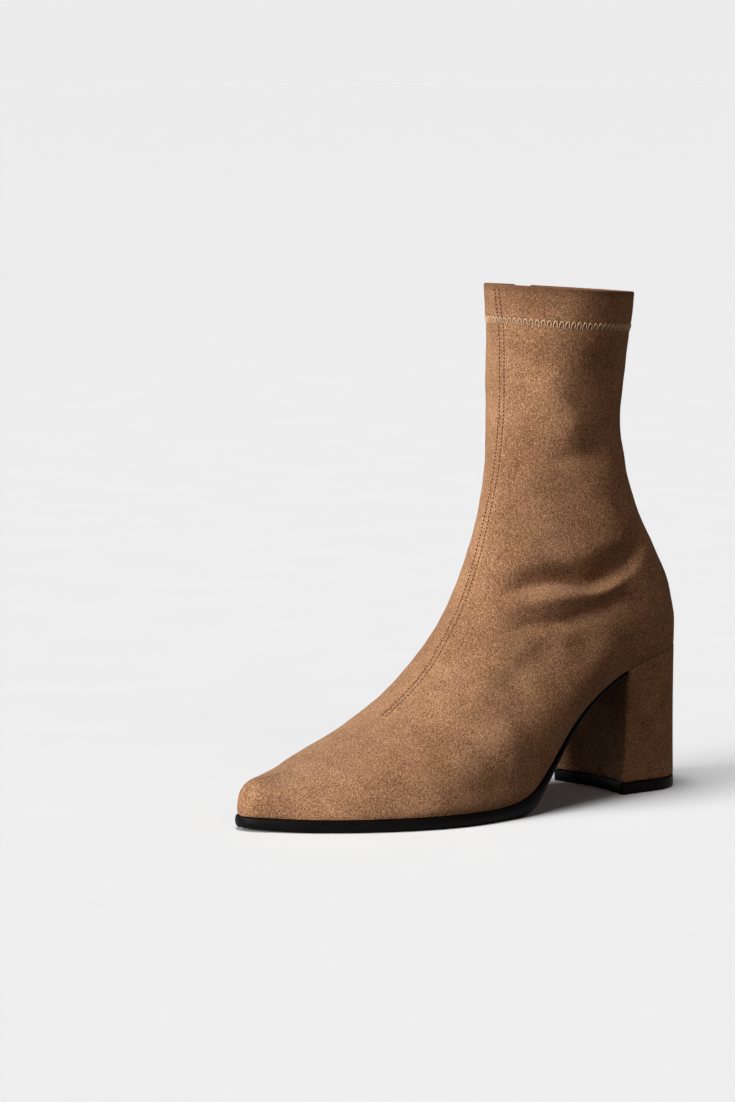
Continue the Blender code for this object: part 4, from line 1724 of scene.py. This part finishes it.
    def level(self, below: float) -> Array:
        """A line round the leg under the collar, from the slit's front edge round to its back edge.

        Args:
            below: distance under the collar.

        Returns:
            Points of the line.
        """
        points = []
        for column in range(self.surface.shape[1] - 1):
            fall = self.net.below[::-1, column]
            points.append([np.interp(below, fall, self.surface[::-1, column, k]) for k in range(3)])
        line = np.array(points)
        half = self.zip_line.slit_width / 2 + self.zigzag_margin
        gap = np.abs(line[:, 0] - self.zip_line.x(line[:, 2])) < half
        gap &= line[:, 1] < self.zip_line.slit_y
        first = int(np.flatnonzero(gap)[-1]) + 1
        line = np.roll(line, -first, axis=0)
        gap = np.roll(gap, -first)
        return line[: int(np.flatnonzero(gap)[0])]

    def build_collar_stitches(self) -> None:
        """The row of arches that holds the collar's hem."""
        high, low = (self.level(below) for below in self.zigzag)
        arches, steps = int(round(lengths(high)[-1] / self.zigzag_pitch)), self.arch_steps
        high, low = spaced(high, arches * steps), spaced(low, arches * steps)
        sunk, proud = self.arch_lifts
        stitches = Pattern()
        for arch in range(arches):
            path = []
            for turn in np.linspace(-1.0, 1.0, self.arch_points):
                index = arch * steps + int(round(steps * (0.5 + 0.5 * self.zigzag_span * turn)))
                rise = math.sqrt(1 - abs(turn) ** self.arch_power)
                place, facing = self.on_suede(low[index] + rise * (high[index] - low[index]))
                lift = sunk if abs(turn) == 1.0 else proud
                path.append(place + lift * self.zigzag_thread * facing)
            stitches.add_tube(np.array(path), self.zigzag_thread)
            # Painted shadow: a dark disc at each arch's foot where the needle went in
            self.paint_hole_shadow(stitches, low[arch * steps])
        threads = [self.finishes.cream_thread, self.finishes.needle_hole]
        settle(stitches.make("collar_stitches", threads, FINE_WELD), Slot.SUEDE)

    def build_placket_stitches(self) -> None:
        """The stitch rows in front of the zip and behind it."""
        stitches = Pattern()
        for row, edge in ((self.front_row, self.placket_front), (self.rear_row, self.zip_line.x)):
            line = []
            for z in np.linspace(row.foot, row.top, row.marks):
                line.append(self.last.wall_point(float(edge(z)) - row.behind, float(z), Side.INNER))
            self.sew(stitches, np.array(line), self.placket_pitch, self.placket_thread)
        # The second finish is the painted shadow where the needle went in
        threads = [self.finishes.tan_thread, self.finishes.needle_hole]
        settle(stitches.make("zip_stitches", threads, FINE_WELD), Slot.SUEDE)

    def build(self) -> None:
        """Builds the upper's pieces."""
        self.build_suede()
        self.build_lining()
        self.build_front_stitches()
        self.build_collar_stitches()
        self.build_placket_stitches()


# Sole, heel and insole


@dataclass
class Outsole:
    """The thin outsole with its rounded edge and its tread."""

    last: Last
    finishes: Finishes
    gap: float = 0.0003
    edge: float = 0.0062
    waist: float = 0.0026
    overhang: float = 0.0010
    tuck: float = 0.0016
    tuck_range: Span = (0.22, 0.42)
    full_half: float = 0.0056
    under: float = 0.0032
    breast_x: float = -0.0815
    tread: Span = (0.570, 0.900)
    toe_spring: float = 0.0016
    thickness: Pairs = (
        (0.170, 0.00), (0.330, 0.14), (0.390, 0.50), (0.420, 0.94), (0.450, 1.60),
        (0.480, 1.65), (0.510, 1.35), (0.560, 1.00),
    )
    edge_profile: Pairs = (
        (-0.45, 1.00), (-0.12, 0.95), (0.00, 0.87), (0.35, 0.72), (0.50, 0.55),
        (0.40, 0.38), (0.05, 0.22), (-0.49, 0.10), (-0.91, 0.03), (-1.40, 0.00),
    )
    rows: int = 170
    crowding: float = 1.5

    def bottom(self, x: Array) -> Array:
        """Finds the underside: flat under the tread, rising with the arch and a little at the toe.

        Args:
            x: places along the sole.

        Returns:
            Z of the underside there.
        """
        along = x / self.last.length + 0.5
        share = np.maximum(Spline(*zip(*self.thickness))(along), 0.0)
        arch = self.last.feather_height(x) - self.gap - self.waist - share * (self.edge - self.waist)
        spring = np.maximum(along - self.tread[1], 0.0) / (self.last.toe_tip - self.tread[1])
        return np.where(along >= self.tread[0], self.toe_spring * spring**2, np.maximum(arch, 0.0))

    def build(self) -> None:
        """Builds the outsole."""
        tip = self.last.x_of(self.last.toe_tip)
        places = tip + np.linspace(0.0, 1.0, self.rows) ** self.crowding * (self.breast_x + self.gap - tip)
        moved, halves = self.last.outline(places, -self.overhang)
        halves = halves - self.tuck * (1 - soft_step(moved / self.last.length + 0.5, *self.tuck_range))
        top, low = self.last.feather_height(moved) - self.gap, self.bottom(moved)
        centre = self.last.feather_centre(moved)
        loops = []
        for x, half, high, deep, middle in zip(moved, halves, top, low, centre):
            slim = min(1.0, half / self.full_half)
            tall = high - deep
            profile = [(half + slim * MM * out, deep + share * tall) for out, share in self.edge_profile]
            profile.append((max(half - self.under, 0.5 * half), deep))
            outer = [(x, middle + y, z) for y, z in profile]
            inner = [(x, middle - y, z) for y, z in reversed(profile)]
            loops.append(np.array(outer + inner))
        pattern = Pattern()
        pattern.add_loops(loops)
        sides = len(loops[0])
        under = sides // 2 - 1
        for strip in range(self.rows - 1):
            pattern.finishes[strip * sides + under] = 1
        rubbers = [self.finishes.rubber, self.finishes.tread]
        settle(pattern.make("outsole_rubber", rubbers, CLOSE_WELD, turn_out=True), Slot.RUBBER, "outsole")


@dataclass
class Heel:
    """The suede covered block heel and the rubber lift under it.

    Edges are pairs of a height and an inset in millimetres.
    """

    last: Last
    finishes: Finishes
    gap: float = 0.0003
    width: float = 0.0540
    breast_x: float = -0.0790
    seat_x: float = -0.0815
    back_x: float = -0.1234
    corner: float = 0.0215
    hollow: float = 0.0040
    lift: float = 0.0058
    waisting: float = 0.00025
    seat_insets: Span = (0.0012, 0.0003)
    cover_span: Span = (0.012, 0.985)
    cover_edge: Pairs = ((0.25, 0.12), (0.0, 0.5))
    lift_edge: Pairs = (
        (0.0, 1.2), (0.0, 0.55), (0.15, 0.2), (0.45, 0.0), (3.0, -0.1), (5.3, 0.0),
        (5.65, 0.15), (5.8, 0.5),
    )
    seat_steps: int = 200
    corner_steps: int = 60
    columns: int = 110
    breast_columns: int = 44
    levels: int = 40
    soften: int = 3

    def closed(self, sides: Array, hollow: float) -> Array:
        """Closes a U of sides and back with the breast, and softens its two corners.

        Args:
            sides: points of the U.
            hollow: depth of the breast's hollow.

        Returns:
            A closed outline.
        """
        share = np.linspace(0.0, 1.0, self.breast_columns + 1)[1:-1, None]
        breast = sides[-1] + share * (sides[0] - sides[-1])
        breast[:, 0] -= hollow * np.sin(math.pi * share[:, 0])
        outline = np.vstack([sides, breast])
        for _ in range(self.soften):
            outline = 0.5 * outline + 0.25 * (np.roll(outline, 1, axis=0) + np.roll(outline, -1, axis=0))
        return outline

    def seat(self) -> Array:
        """Draws the heel's top edge along the feather line.

        Returns:
            A closed outline.
        """
        back = self.last.x_of(0.0)
        x = back + (self.seat_x - back) * (1 - np.cos(np.linspace(math.pi / 2, 0.0, self.seat_steps)))
        half, centre = self.last.feather_half(x), self.last.feather_centre(x)
        outer = np.stack([x, centre + half, 0 * x], axis=1)
        inner = np.stack([x, centre - half, 0 * x], axis=1)
        outline = self.closed(spaced(np.vstack([outer, inner[-2::-1]]), self.columns), 0.0)
        outline[:, 2] = self.last.feather_height(outline[:, 0]) - self.gap
        return outline

    def floor(self) -> Array:
        """Draws the heel's outline at the floor.

        Returns:
            A closed outline.
        """
        half = self.width / 2
        points = [(self.breast_x, half, 0.0)]
        for corner_y, start in ((half - self.corner, math.pi / 2), (self.corner - half, math.pi)):
            for angle in np.linspace(start, start + math.pi / 2, self.corner_steps):
                x = self.back_x + self.corner * (1 + math.cos(angle))
                points.append((x, corner_y + self.corner * math.sin(angle), 0.0))
        points.append((self.breast_x, -half, 0.0))
        sides = spaced(np.array(points) + np.array([0.0, self.last.axis_y, 0.0]), self.columns)
        return self.closed(sides, self.hollow)

    @staticmethod
    def drawn_in(outline: Array, inset: float) -> Array:
        """An outline moved in, square to itself in plan."""
        run = unit(np.roll(outline, -1, axis=0) - np.roll(outline, 1, axis=0))
        return outline + inset * np.stack([-run[:, 1], run[:, 0], 0 * run[:, 0]], axis=1)

    def edged(self, outline: Array, edge: Sequence[tuple[float, float]]) -> list[Array]:
        """Copies of an outline at an edge's heights and insets."""
        return [self.drawn_in(outline, inset * MM) + np.array([0.0, 0.0, z * MM]) for z, inset in edge]

    def build_cover(self) -> None:
        """The covered block."""
        seat, floor = self.seat(), self.floor()
        sole = floor + np.array([0.0, 0.0, self.lift + self.gap])
        loops = [self.drawn_in(seat, inset) for inset in self.seat_insets]
        for share in np.linspace(*self.cover_span, self.levels):
            waist = self.waisting * math.sin(math.pi * share)
            loops.append(self.drawn_in(seat + share * (sole - seat), waist))
        pattern = Pattern()
        pattern.add_loops(loops + self.edged(sole, self.cover_edge))
        settle(pattern.make("heel_cover", [self.finishes.suede], turn_out=True), Slot.SUEDE, "heel_block")

    def build_lift(self) -> None:
        """The lift with its rounded edges, and tread on the face that stands on the floor."""
        pattern = Pattern()
        pattern.add_loops(self.edged(self.floor(), self.lift_edge))
        pattern.finishes[-2] = 1
        rubbers = [self.finishes.rubber, self.finishes.tread]
        settle(pattern.make("heel_lift_rubber", rubbers, turn_out=True), Slot.RUBBER, "heel_top_lift")

    def build(self) -> None:
        """Builds the heel's pieces."""
        self.build_cover()
        self.build_lift()


@dataclass
class Insole:
    """The insole with its soft edge, drawn in shares of its thickness and its half width."""

    last: Last
    finishes: Finishes
    wall: float = 0.0018
    thick: float = 0.0030
    short: float = 0.0060
    clear: float = 0.0011
    edge: Pairs = ((0.2, 0.0), (0.0, 0.25), (0.0, 0.55))
    edge_turns: tuple[float, ...] = (30.0, 60.0, 90.0)
    edge_round: Span = (0.5, 0.40)
    crown: Pairs = ((0.6, 0.985), (0.2, 1.0))
    rows: int = 110

    def build(self) -> None:
        """Builds the insole."""
        tip, back = self.last.x_of(self.last.toe_tip) - self.short, self.last.x_of(0.0)
        places = tip + (1 - np.cos(np.linspace(0.0, math.pi, self.rows))) / 2 * (back - tip)
        moved, halves = self.last.outline(places, self.wall + self.clear)
        start, (inward, rise) = self.edge[-1][1], self.edge_round
        loops = []
        for x, half in zip(moved, np.maximum(halves, 0.0)):
            slim = min(self.thick, half / 2)
            low, centre = float(self.last.feather_height(x)), float(self.last.feather_centre(x))
            outer = [(half - inset * slim, low + share * self.thick) for inset, share in self.edge]
            for turn in np.radians(self.edge_turns):
                side = half - inward * slim * (1 - math.cos(turn))
                outer.append((side, low + self.thick * (start + rise * math.sin(turn))))
            outer += [(share * half, low + up * self.thick) for share, up in self.crown]
            profile = outer + [(-y, z) for y, z in reversed(outer)]
            loops.append(np.array([(x, centre + y, z) for y, z in profile]))
        pattern = Pattern()
        pattern.add_loops(loops)
        piece = pattern.make("insole_sock", [self.finishes.sock], CLOSE_WELD, turn_out=True)
        settle(piece, Slot.LINING, "insole")


# The zip


@dataclass
class Zip:
    """Tapes, teeth, slider and pull tab of the inner side zip.

    A tooth's path is in millimetres across, out and up. The slider's and the tab's outlines are in
    shares of their half sizes, and the plate's edge in millimetres up and in.
    """

    line: ZipLine
    finishes: Finishes
    gap: float = 0.0003
    wall: float = 0.0018
    tape_width: float = 0.0085
    tape: float = 0.0007
    tape_tail: float = 0.0040
    tape_rows: int = 60
    tape_columns: int = 11
    tape_cord: Ripple = Ripple(0.12, 2.9, 0.5)
    pitch: float = 0.00125
    teeth_ends: Span = (0.0006, 0.0005)
    teeth_room: float = 0.0004
    teeth_depth: float = 0.00085
    tooth_wire: float = 0.0004
    tooth_blunt: float = 0.6
    tooth_path: tuple[tuple[float, float, float], ...] = (
        (-0.35, 0.25, 0.55), (0.15, 0.52, 0.42), (1.1, 0.60, 0.08), (2.0, 0.42, -0.25),
        (2.4, -0.1, -0.38),
    )
    slider_length: float = 0.0100
    slider_width: float = 0.0076
    slider_plate: float = 0.0015
    slider_wing: float = 0.0009
    slider_grip: float = 0.0009
    slider_outline: Pairs = (
        (0.30, -1.0), (0.62, -0.96), (0.76, -0.80), (0.86, -0.45), (0.96, 0.10),
        (1.0, 0.55), (0.97, 0.80), (0.80, 0.96), (0.35, 1.0),
    )
    plate_edge: Pairs = ((0.0, 0.35), (0.3, 0.0), (1.05, 0.0), (1.38, 0.25), (1.5, 0.7))
    wing_outline: Pairs = (
        (-0.86, 0.72), (-0.80, 0.80), (-0.2, 0.92), (0.6, 1.0), (0.78, 0.98),
        (0.86, 0.9),
    )
    wing_root: float = 0.0004
    wing_chamfers: Span = (0.00025, 0.0002)
    wing_shoulder: float = 0.6
    bridge_radius: float = 0.0007
    bridge_rise: float = 0.0031
    bridge_length: float = 0.0076
    bridge_bend: float = 0.0015
    bridge_root: float = 0.0006
    bridge_steps: int = 7
    hinge_drop: float = 0.0016
    tab_length: float = 0.0235
    tab_width: float = 0.0052
    tab: float = 0.0011
    tab_edge: float = 0.00028
    tab_along: tuple[float, ...] = (0.00, 0.03, 0.36, 0.46, 0.58, 0.70, 0.82, 0.92, 0.97, 1.00)
    tab_shares: tuple[float, ...] = (0.86, 1.00, 1.00, 0.86, 0.84, 0.90, 0.98, 0.96, 0.82, 0.42)
    tab_steps: int = 70
    crossbar: float = 0.00066
    tab_slot: Span = (0.0028, 0.0072)
    slot_square: float = 0.45
    slot_steps: int = 40
    tab_curl: float = 0.0016
    tab_curl_from: float = 0.45
    tab_cuts: tuple[float, float, int] = (0.42, 0.985, 26)

    def build_tape(self, name: str, node: str, near: float, far: float) -> None:
        """One tape with a thicker woven edge beside the teeth.

        Args:
            name: its name.
            node: the part's node that it stands for.
            near: distance of its front edge from the zip's middle.
            far: distance of its back edge.
        """
        heights = np.linspace(self.line.foot[1] - self.tape_tail, self.line.top[1], self.tape_rows)
        offsets = np.linspace(near, far, self.tape_columns)
        loops = []
        for z in heights:
            high, low = [], []
            for offset in offsets:
                place, _, out, _ = self.line.frame(float(self.line.x(z)) + offset, float(z))
                cord = float(self.tape_cord.over(abs(offset)))
                high.append(place - (self.wall + self.gap - cord) * out)
                low.append(place - (self.wall + self.gap + self.tape) * out)
            loops.append(np.array(high + low[::-1]))
        pattern = Pattern()
        pattern.add_loops(loops)
        settle(pattern.make(name, [self.finishes.tape], turn_out=True), Slot.TAPE, node)

    def build_teeth(self) -> None:
        """The two closed rows of slanted teeth, half a pitch apart."""
        pattern = Pattern()
        foot, top = self.line.foot[1] + self.teeth_ends[0], self.line.top[1] - self.teeth_ends[1]
        count = int((self.line.top[1] - self.line.foot[1] - self.teeth_room) / self.pitch)
        for number in range(count):
            for side, start in ((1, 0.25), (-1, 0.75)):
                z = foot + (number + start) * self.pitch
                if z > top:
                    continue
                place, across, out, up = self.line.frame(float(self.line.x(z)), z)
                self.add_tooth(pattern, place - self.teeth_depth * out, across * side, out, up)
        piece = pattern.make("zip_teeth", [self.finishes.chain], FINE_WELD, turn_out=True)
        settle(piece, Slot.CHAIN, "zip_chain")

    def add_tooth(self, pattern: Pattern, place: Array, across: Array, out: Array, up: Array) -> None:
        """Adds a tooth: a bent wire that slants up to the middle of the chain and hooks over it."""
        path = [place + MM * (a * across + o * out + u * up) for a, o, u in self.tooth_path]
        pattern.add_tube(np.array(path), self.tooth_wire, sides=7, blunt=self.tooth_blunt)

    def slider_frame(self) -> tuple[Array, Array, Array, Array]:
        """Place and axes of the slider at the top of the zip."""
        z = self.line.top[1] - self.slider_length / 2
        return self.line.frame(float(self.line.x(z)), z)

    def build_slider(self) -> None:
        """The slider: a shouldered plate, two wings beside the teeth and a bail."""
        place, across, out, up = self.slider_frame()

        def at(a: float, o: float, u: float) -> Array:
            """A place by its distances across, out and up."""
            return place + a * across + o * out + u * up

        pattern = Pattern()
        half, long = self.slider_width / 2, self.slider_length / 2
        left = [(-a, u) for a, u in reversed(self.slider_outline)]
        outline = np.array([*self.slider_outline, *left]) * np.array([half, long])
        loops = []
        for rise, inset in self.plate_edge:
            shrink = 1 - inset * MM / half
            loops.append(np.array([at(a * shrink, self.gap + rise * MM, u * shrink) for a, u in outline]))
        pattern.add_loops(loops)
        root, shoulder = self.gap + self.wing_root, -self.wing_shoulder * self.slider_grip
        for side in (1, -1):
            loops = []
            for u, slim in self.wing_outline:
                outer = half * slim
                inner = outer - self.slider_wing
                ring = [(outer, root), (outer, shoulder), (outer - self.wing_chamfers[0], -self.slider_grip)]
                ring += [(inner + self.wing_chamfers[1], -self.slider_grip), (inner, shoulder), (inner, root)]
                loops.append(np.array([at(side * a, o, u * long) for a, o in ring]))
            pattern.add_loops(loops)
        top, reach, bend = self.gap + self.slider_plate, self.bridge_length / 2, self.bridge_bend
        high = top + self.bridge_rise
        route = [(reach, top - self.bridge_root)]
        for angle in np.linspace(0.0, math.pi / 2, self.bridge_steps):
            route.append((reach - bend * (1 - math.cos(angle)), high - bend * (1 - math.sin(angle))))
        route += [(-u, o) for u, o in reversed(route)]
        path = np.array([at(0.0, o, u) for u, o in route])
        pattern.add_tube(path, self.bridge_radius, sides=12, blunt=1.0)
        piece = pattern.make("zip_slider_body", [self.finishes.gunmetal], FINE_WELD, turn_out=True)
        settle(piece, Slot.METAL, "zip_slider")

    def tab_outline(self) -> Array:
        """Draws the tab's outline in its own plane.

        Returns:
            Points across, and down from its hinge.
        """
        fine = np.linspace(0.0, 1.0, self.tab_steps)
        half = np.interp(fine, self.tab_along, self.tab_shares) * self.tab_width / 2
        for _ in range(2):
            half[1:-1] = 0.5 * half[1:-1] + 0.25 * (half[:-2] + half[2:])
        down = self.crossbar - fine * (self.tab_length + self.crossbar)
        right = np.stack([half, down], axis=1)
        left = np.stack([-half, down], axis=1)[::-1]
        return np.vstack([right, left])

    def slot_outline(self) -> Array:
        """Draws the tab's slot, an oval with squared ends, in the tab's own plane.

        Returns:
            Points across, and down from the hinge.
        """
        width, length = self.tab_slot
        angles = np.linspace(0.0, 2 * math.pi, self.slot_steps, endpoint=False)
        waves = (np.cos(angles), np.sin(angles))
        a, u = (np.copysign(np.abs(wave) ** self.slot_square, wave) for wave in waves)
        return np.stack([width / 2 * a, length / 2 * u - self.crossbar - length / 2], axis=1)

    def build_tab(self) -> None:
        """The pull tab with its slot, rounded edges and a curl at its end."""
        place, across, out, up = self.slider_frame()
        top = self.gap + self.slider_plate
        hinge = place + (top + (self.bridge_rise - self.bridge_radius) / 2) * out - self.hinge_drop * up
        curve = bpy.data.curves.new("pull tab outline", "CURVE")
        curve.dimensions = "2D"
        curve.fill_mode = "BOTH"
        curve.extrude = self.tab / 2 - self.tab_edge
        curve.bevel_depth = self.tab_edge
        curve.offset = -self.tab_edge
        curve.bevel_resolution = 3
        for line in (self.tab_outline(), self.slot_outline()):
            spline = curve.splines.new("POLY")
            spline.points.add(len(line) - 1)
            for point, (a, u) in zip(spline.points, line):
                point.co = (a, u, 0.0, 1.0)
            spline.use_cyclic_u = True
        drawn = placed("pull tab outline", curve)
        bpy.context.view_layer.update()
        mesh = bpy.data.meshes.new_from_object(drawn.evaluated_get(bpy.context.evaluated_depsgraph_get()))
        bpy.data.objects.remove(drawn)
        first, end, cuts = self.tab_cuts
        start = self.tab_curl_from
        with opened(mesh) as bm:
            bmesh.ops.remove_doubles(bm, verts=bm.verts, dist=CLOSE_WELD)
            for u in np.linspace(-self.tab_length * first, -self.tab_length * end, cuts):
                geometry = [*bm.verts, *bm.edges, *bm.faces]
                place, down = (0.0, float(u), 0.0), (0.0, 1.0, 0.0)
                bmesh.ops.bisect_plane(bm, geom=geometry, dist=FINE_WELD, plane_co=place, plane_no=down)
            for vert in bm.verts:
                a, u, thick = vert.co
                share = (self.crossbar - u) / (self.tab_length + self.crossbar)
                curl = self.tab_curl * (max(share - start, 0.0) / (1 - start)) ** 2
                vert.co = Vector(hinge + a * across + (curl + thick) * out + u * up)
            bmesh.ops.recalc_face_normals(bm, faces=bm.faces)
        piece = object_of("zip_pull", mesh, [self.finishes.silver])
        settle(piece, Slot.METAL, "zip_pull_tab", body=Body.PULL_TAB)

    def build(self) -> None:
        """Builds the zip's pieces."""
        self.build_tape("zip_tape_front_woven", "zip_tape_front", self.tape_width, self.gap)
        self.build_tape("zip_tape_back_woven", "zip_tape_back", -self.gap, -self.tape_width)
        self.build_teeth()
        self.build_slider()
        self.build_tab()


# The studio


@dataclass(frozen=True)
class Lamp:
    """A soft lamp far away, by the direction that it stands in."""

    name: str
    towards: tuple[float, float, float]
    strength: float
    spread: float
    tint: Colour = (1.0, 1.0, 1.0)
    lit: Lit = Lit.ALL

    def hang(self, floor: Piece) -> None:
        """Hangs the lamp, and keeps its light off the floor or on the floor alone where it is so made.

        Args:
            floor: the floor.
        """
        lamp = bpy.data.lights.new(self.name, "SUN")
        lamp.energy = self.strength
        lamp.angle = math.radians(self.spread)
        lamp.color = self.tint
        made = placed(self.name, lamp)
        made.rotation_euler = Vector(self.towards).to_track_quat("Z", "Y").to_euler()
        if self.lit is not Lit.ALL:
            linked = bpy.data.collections.new(self.name)
            linked.objects.link(floor)
            linked.collection_objects[0].light_linking.link_state = self.lit.value
            made.light_linking.receiver_collection = linked


LAMPS = (
    Lamp("key lamp", (1.0, -0.07, 0.365), 4.75, 30.0, (1.0, 0.99, 0.97)),
    Lamp("high lamp", (0.68, 0.18, 0.71), 0.3, 40.0),
    Lamp("side lamp", (0.10, 0.95, 0.45), 0.42, 40.0, (1.0, 0.84, 0.74)),
    Lamp("edge lamp", (0.0, -1.0, 0.5), 0.6, 40.0, lit=Lit.BOOT_ALONE),
    Lamp("back lamp", (-0.9, 0.5, 0.5), 0.10, 40.0, (1.0, 0.86, 0.76), Lit.BOOT_ALONE),
    Lamp("floor lamp", (0.10, 0.0, 1.0), 2.93, 22.0, lit=Lit.FLOOR_ALONE),
)


@dataclass
class Studio:
    """A plain pale floor, soft lamps and the camera."""

    pale: float = 0.8405
    ambient: float = 0.010
    ambient_tint: Colour = (1.0, 0.80, 0.68)
    floor_size: float = 60.0
    floor_drop: float = 0.0001
    floor_grain: float = 900.0
    floor_tone: Span = (0.545, 0.567)
    floor_tint: Colour = (0.992, 0.999, 1.013)
    eye: tuple[float, float, float] = (1.2669, 1.5997, 0.3677)
    azimuth: float = 37.0
    tilt: float = 6.8
    lens: float = 139.5
    sensor: float = 36.0

    def build_floor(self) -> Piece:
        """The floor, whose light doesn't spill onto the boot.

        Returns:
            The floor.
        """
        bench = Bench("pale floor", roughness=0.9)
        bench.specular(0.1)
        low, high = (tuple(tone * part for part in self.floor_tint) for tone in self.floor_tone)
        grain = bench.noise(self.floor_grain, places=bench.shares)
        bench.colour(bench.ramp(grain, ((0.0, low), (1.0, high))))
        half = self.floor_size / 2
        mesh = bpy.data.meshes.new("floor")
        corners = [(-half, -half, 0.0), (half, -half, 0.0), (half, half, 0.0), (-half, half, 0.0)]
        mesh.from_pydata(corners, [], [(0, 1, 2, 3)])
        mesh.materials.append(bench.material)
        floor = placed("floor", mesh)
        floor.location.z = -self.floor_drop
        floor.visible_diffuse = False
        return floor

    def build_air(self) -> None:
        """The pale surroundings, which light the boot only faintly."""
        world = bpy.data.worlds.new("studio air")
        world.use_nodes = True
        tree = world.node_tree
        seen = tree.nodes.new("ShaderNodeLightPath")
        mix = tree.nodes.new("ShaderNodeMixShader")
        faint = tree.nodes["Background"]
        faint.inputs["Color"].default_value = (*self.ambient_tint, 1.0)
        faint.inputs["Strength"].default_value = self.ambient
        pale = tree.nodes.new("ShaderNodeBackground")
        pale.inputs["Color"].default_value = (1.0, 1.0, 1.0, 1.0)
        pale.inputs["Strength"].default_value = self.pale
        tree.links.new(seen.outputs["Is Camera Ray"], mix.inputs["Fac"])
        tree.links.new(faint.outputs["Background"], mix.inputs[1])
        tree.links.new(pale.outputs["Background"], mix.inputs[2])
        tree.links.new(mix.outputs["Shader"], tree.nodes["World Output"].inputs["Surface"])
        bpy.context.scene.world = world

    def build_camera(self) -> None:
        """The camera at the height of the ankle, before the outer side of the toe."""
        camera = bpy.data.cameras.new("camera")
        camera.lens = self.lens
        camera.sensor_width = self.sensor
        camera.sensor_fit = "AUTO"
        made = placed("camera", camera)
        made.location = self.eye
        turn, tilt = math.radians(self.azimuth), math.radians(self.tilt)
        look = Vector((-math.sin(turn) * math.cos(tilt), -math.cos(turn) * math.cos(tilt), -math.sin(tilt)))
        made.rotation_euler = look.to_track_quat("-Z", "Y").to_euler()
        bpy.context.scene.camera = made

    def build(self) -> None:
        """Sets the studio up."""
        self.build_camera()
        floor = self.build_floor()
        self.build_air()
        for lamp in LAMPS:
            lamp.hang(floor)
        bpy.context.scene.view_settings.view_transform = "Standard"


def main() -> None:
    """Builds the boot's pieces in order, then the studio."""
    logging.basicConfig(level=logging.INFO, format="%(name)s: %(message)s")
    last = Last()
    finishes = Finishes.mixed()
    zip_line = ZipLine(last)
    Upper(last, zip_line, finishes).build()
    Outsole(last, finishes).build()
    Heel(last, finishes).build()
    Insole(last, finishes).build()
    Zip(zip_line, finishes).build()
    Studio().build()


if __name__ == "__main__":
    main()
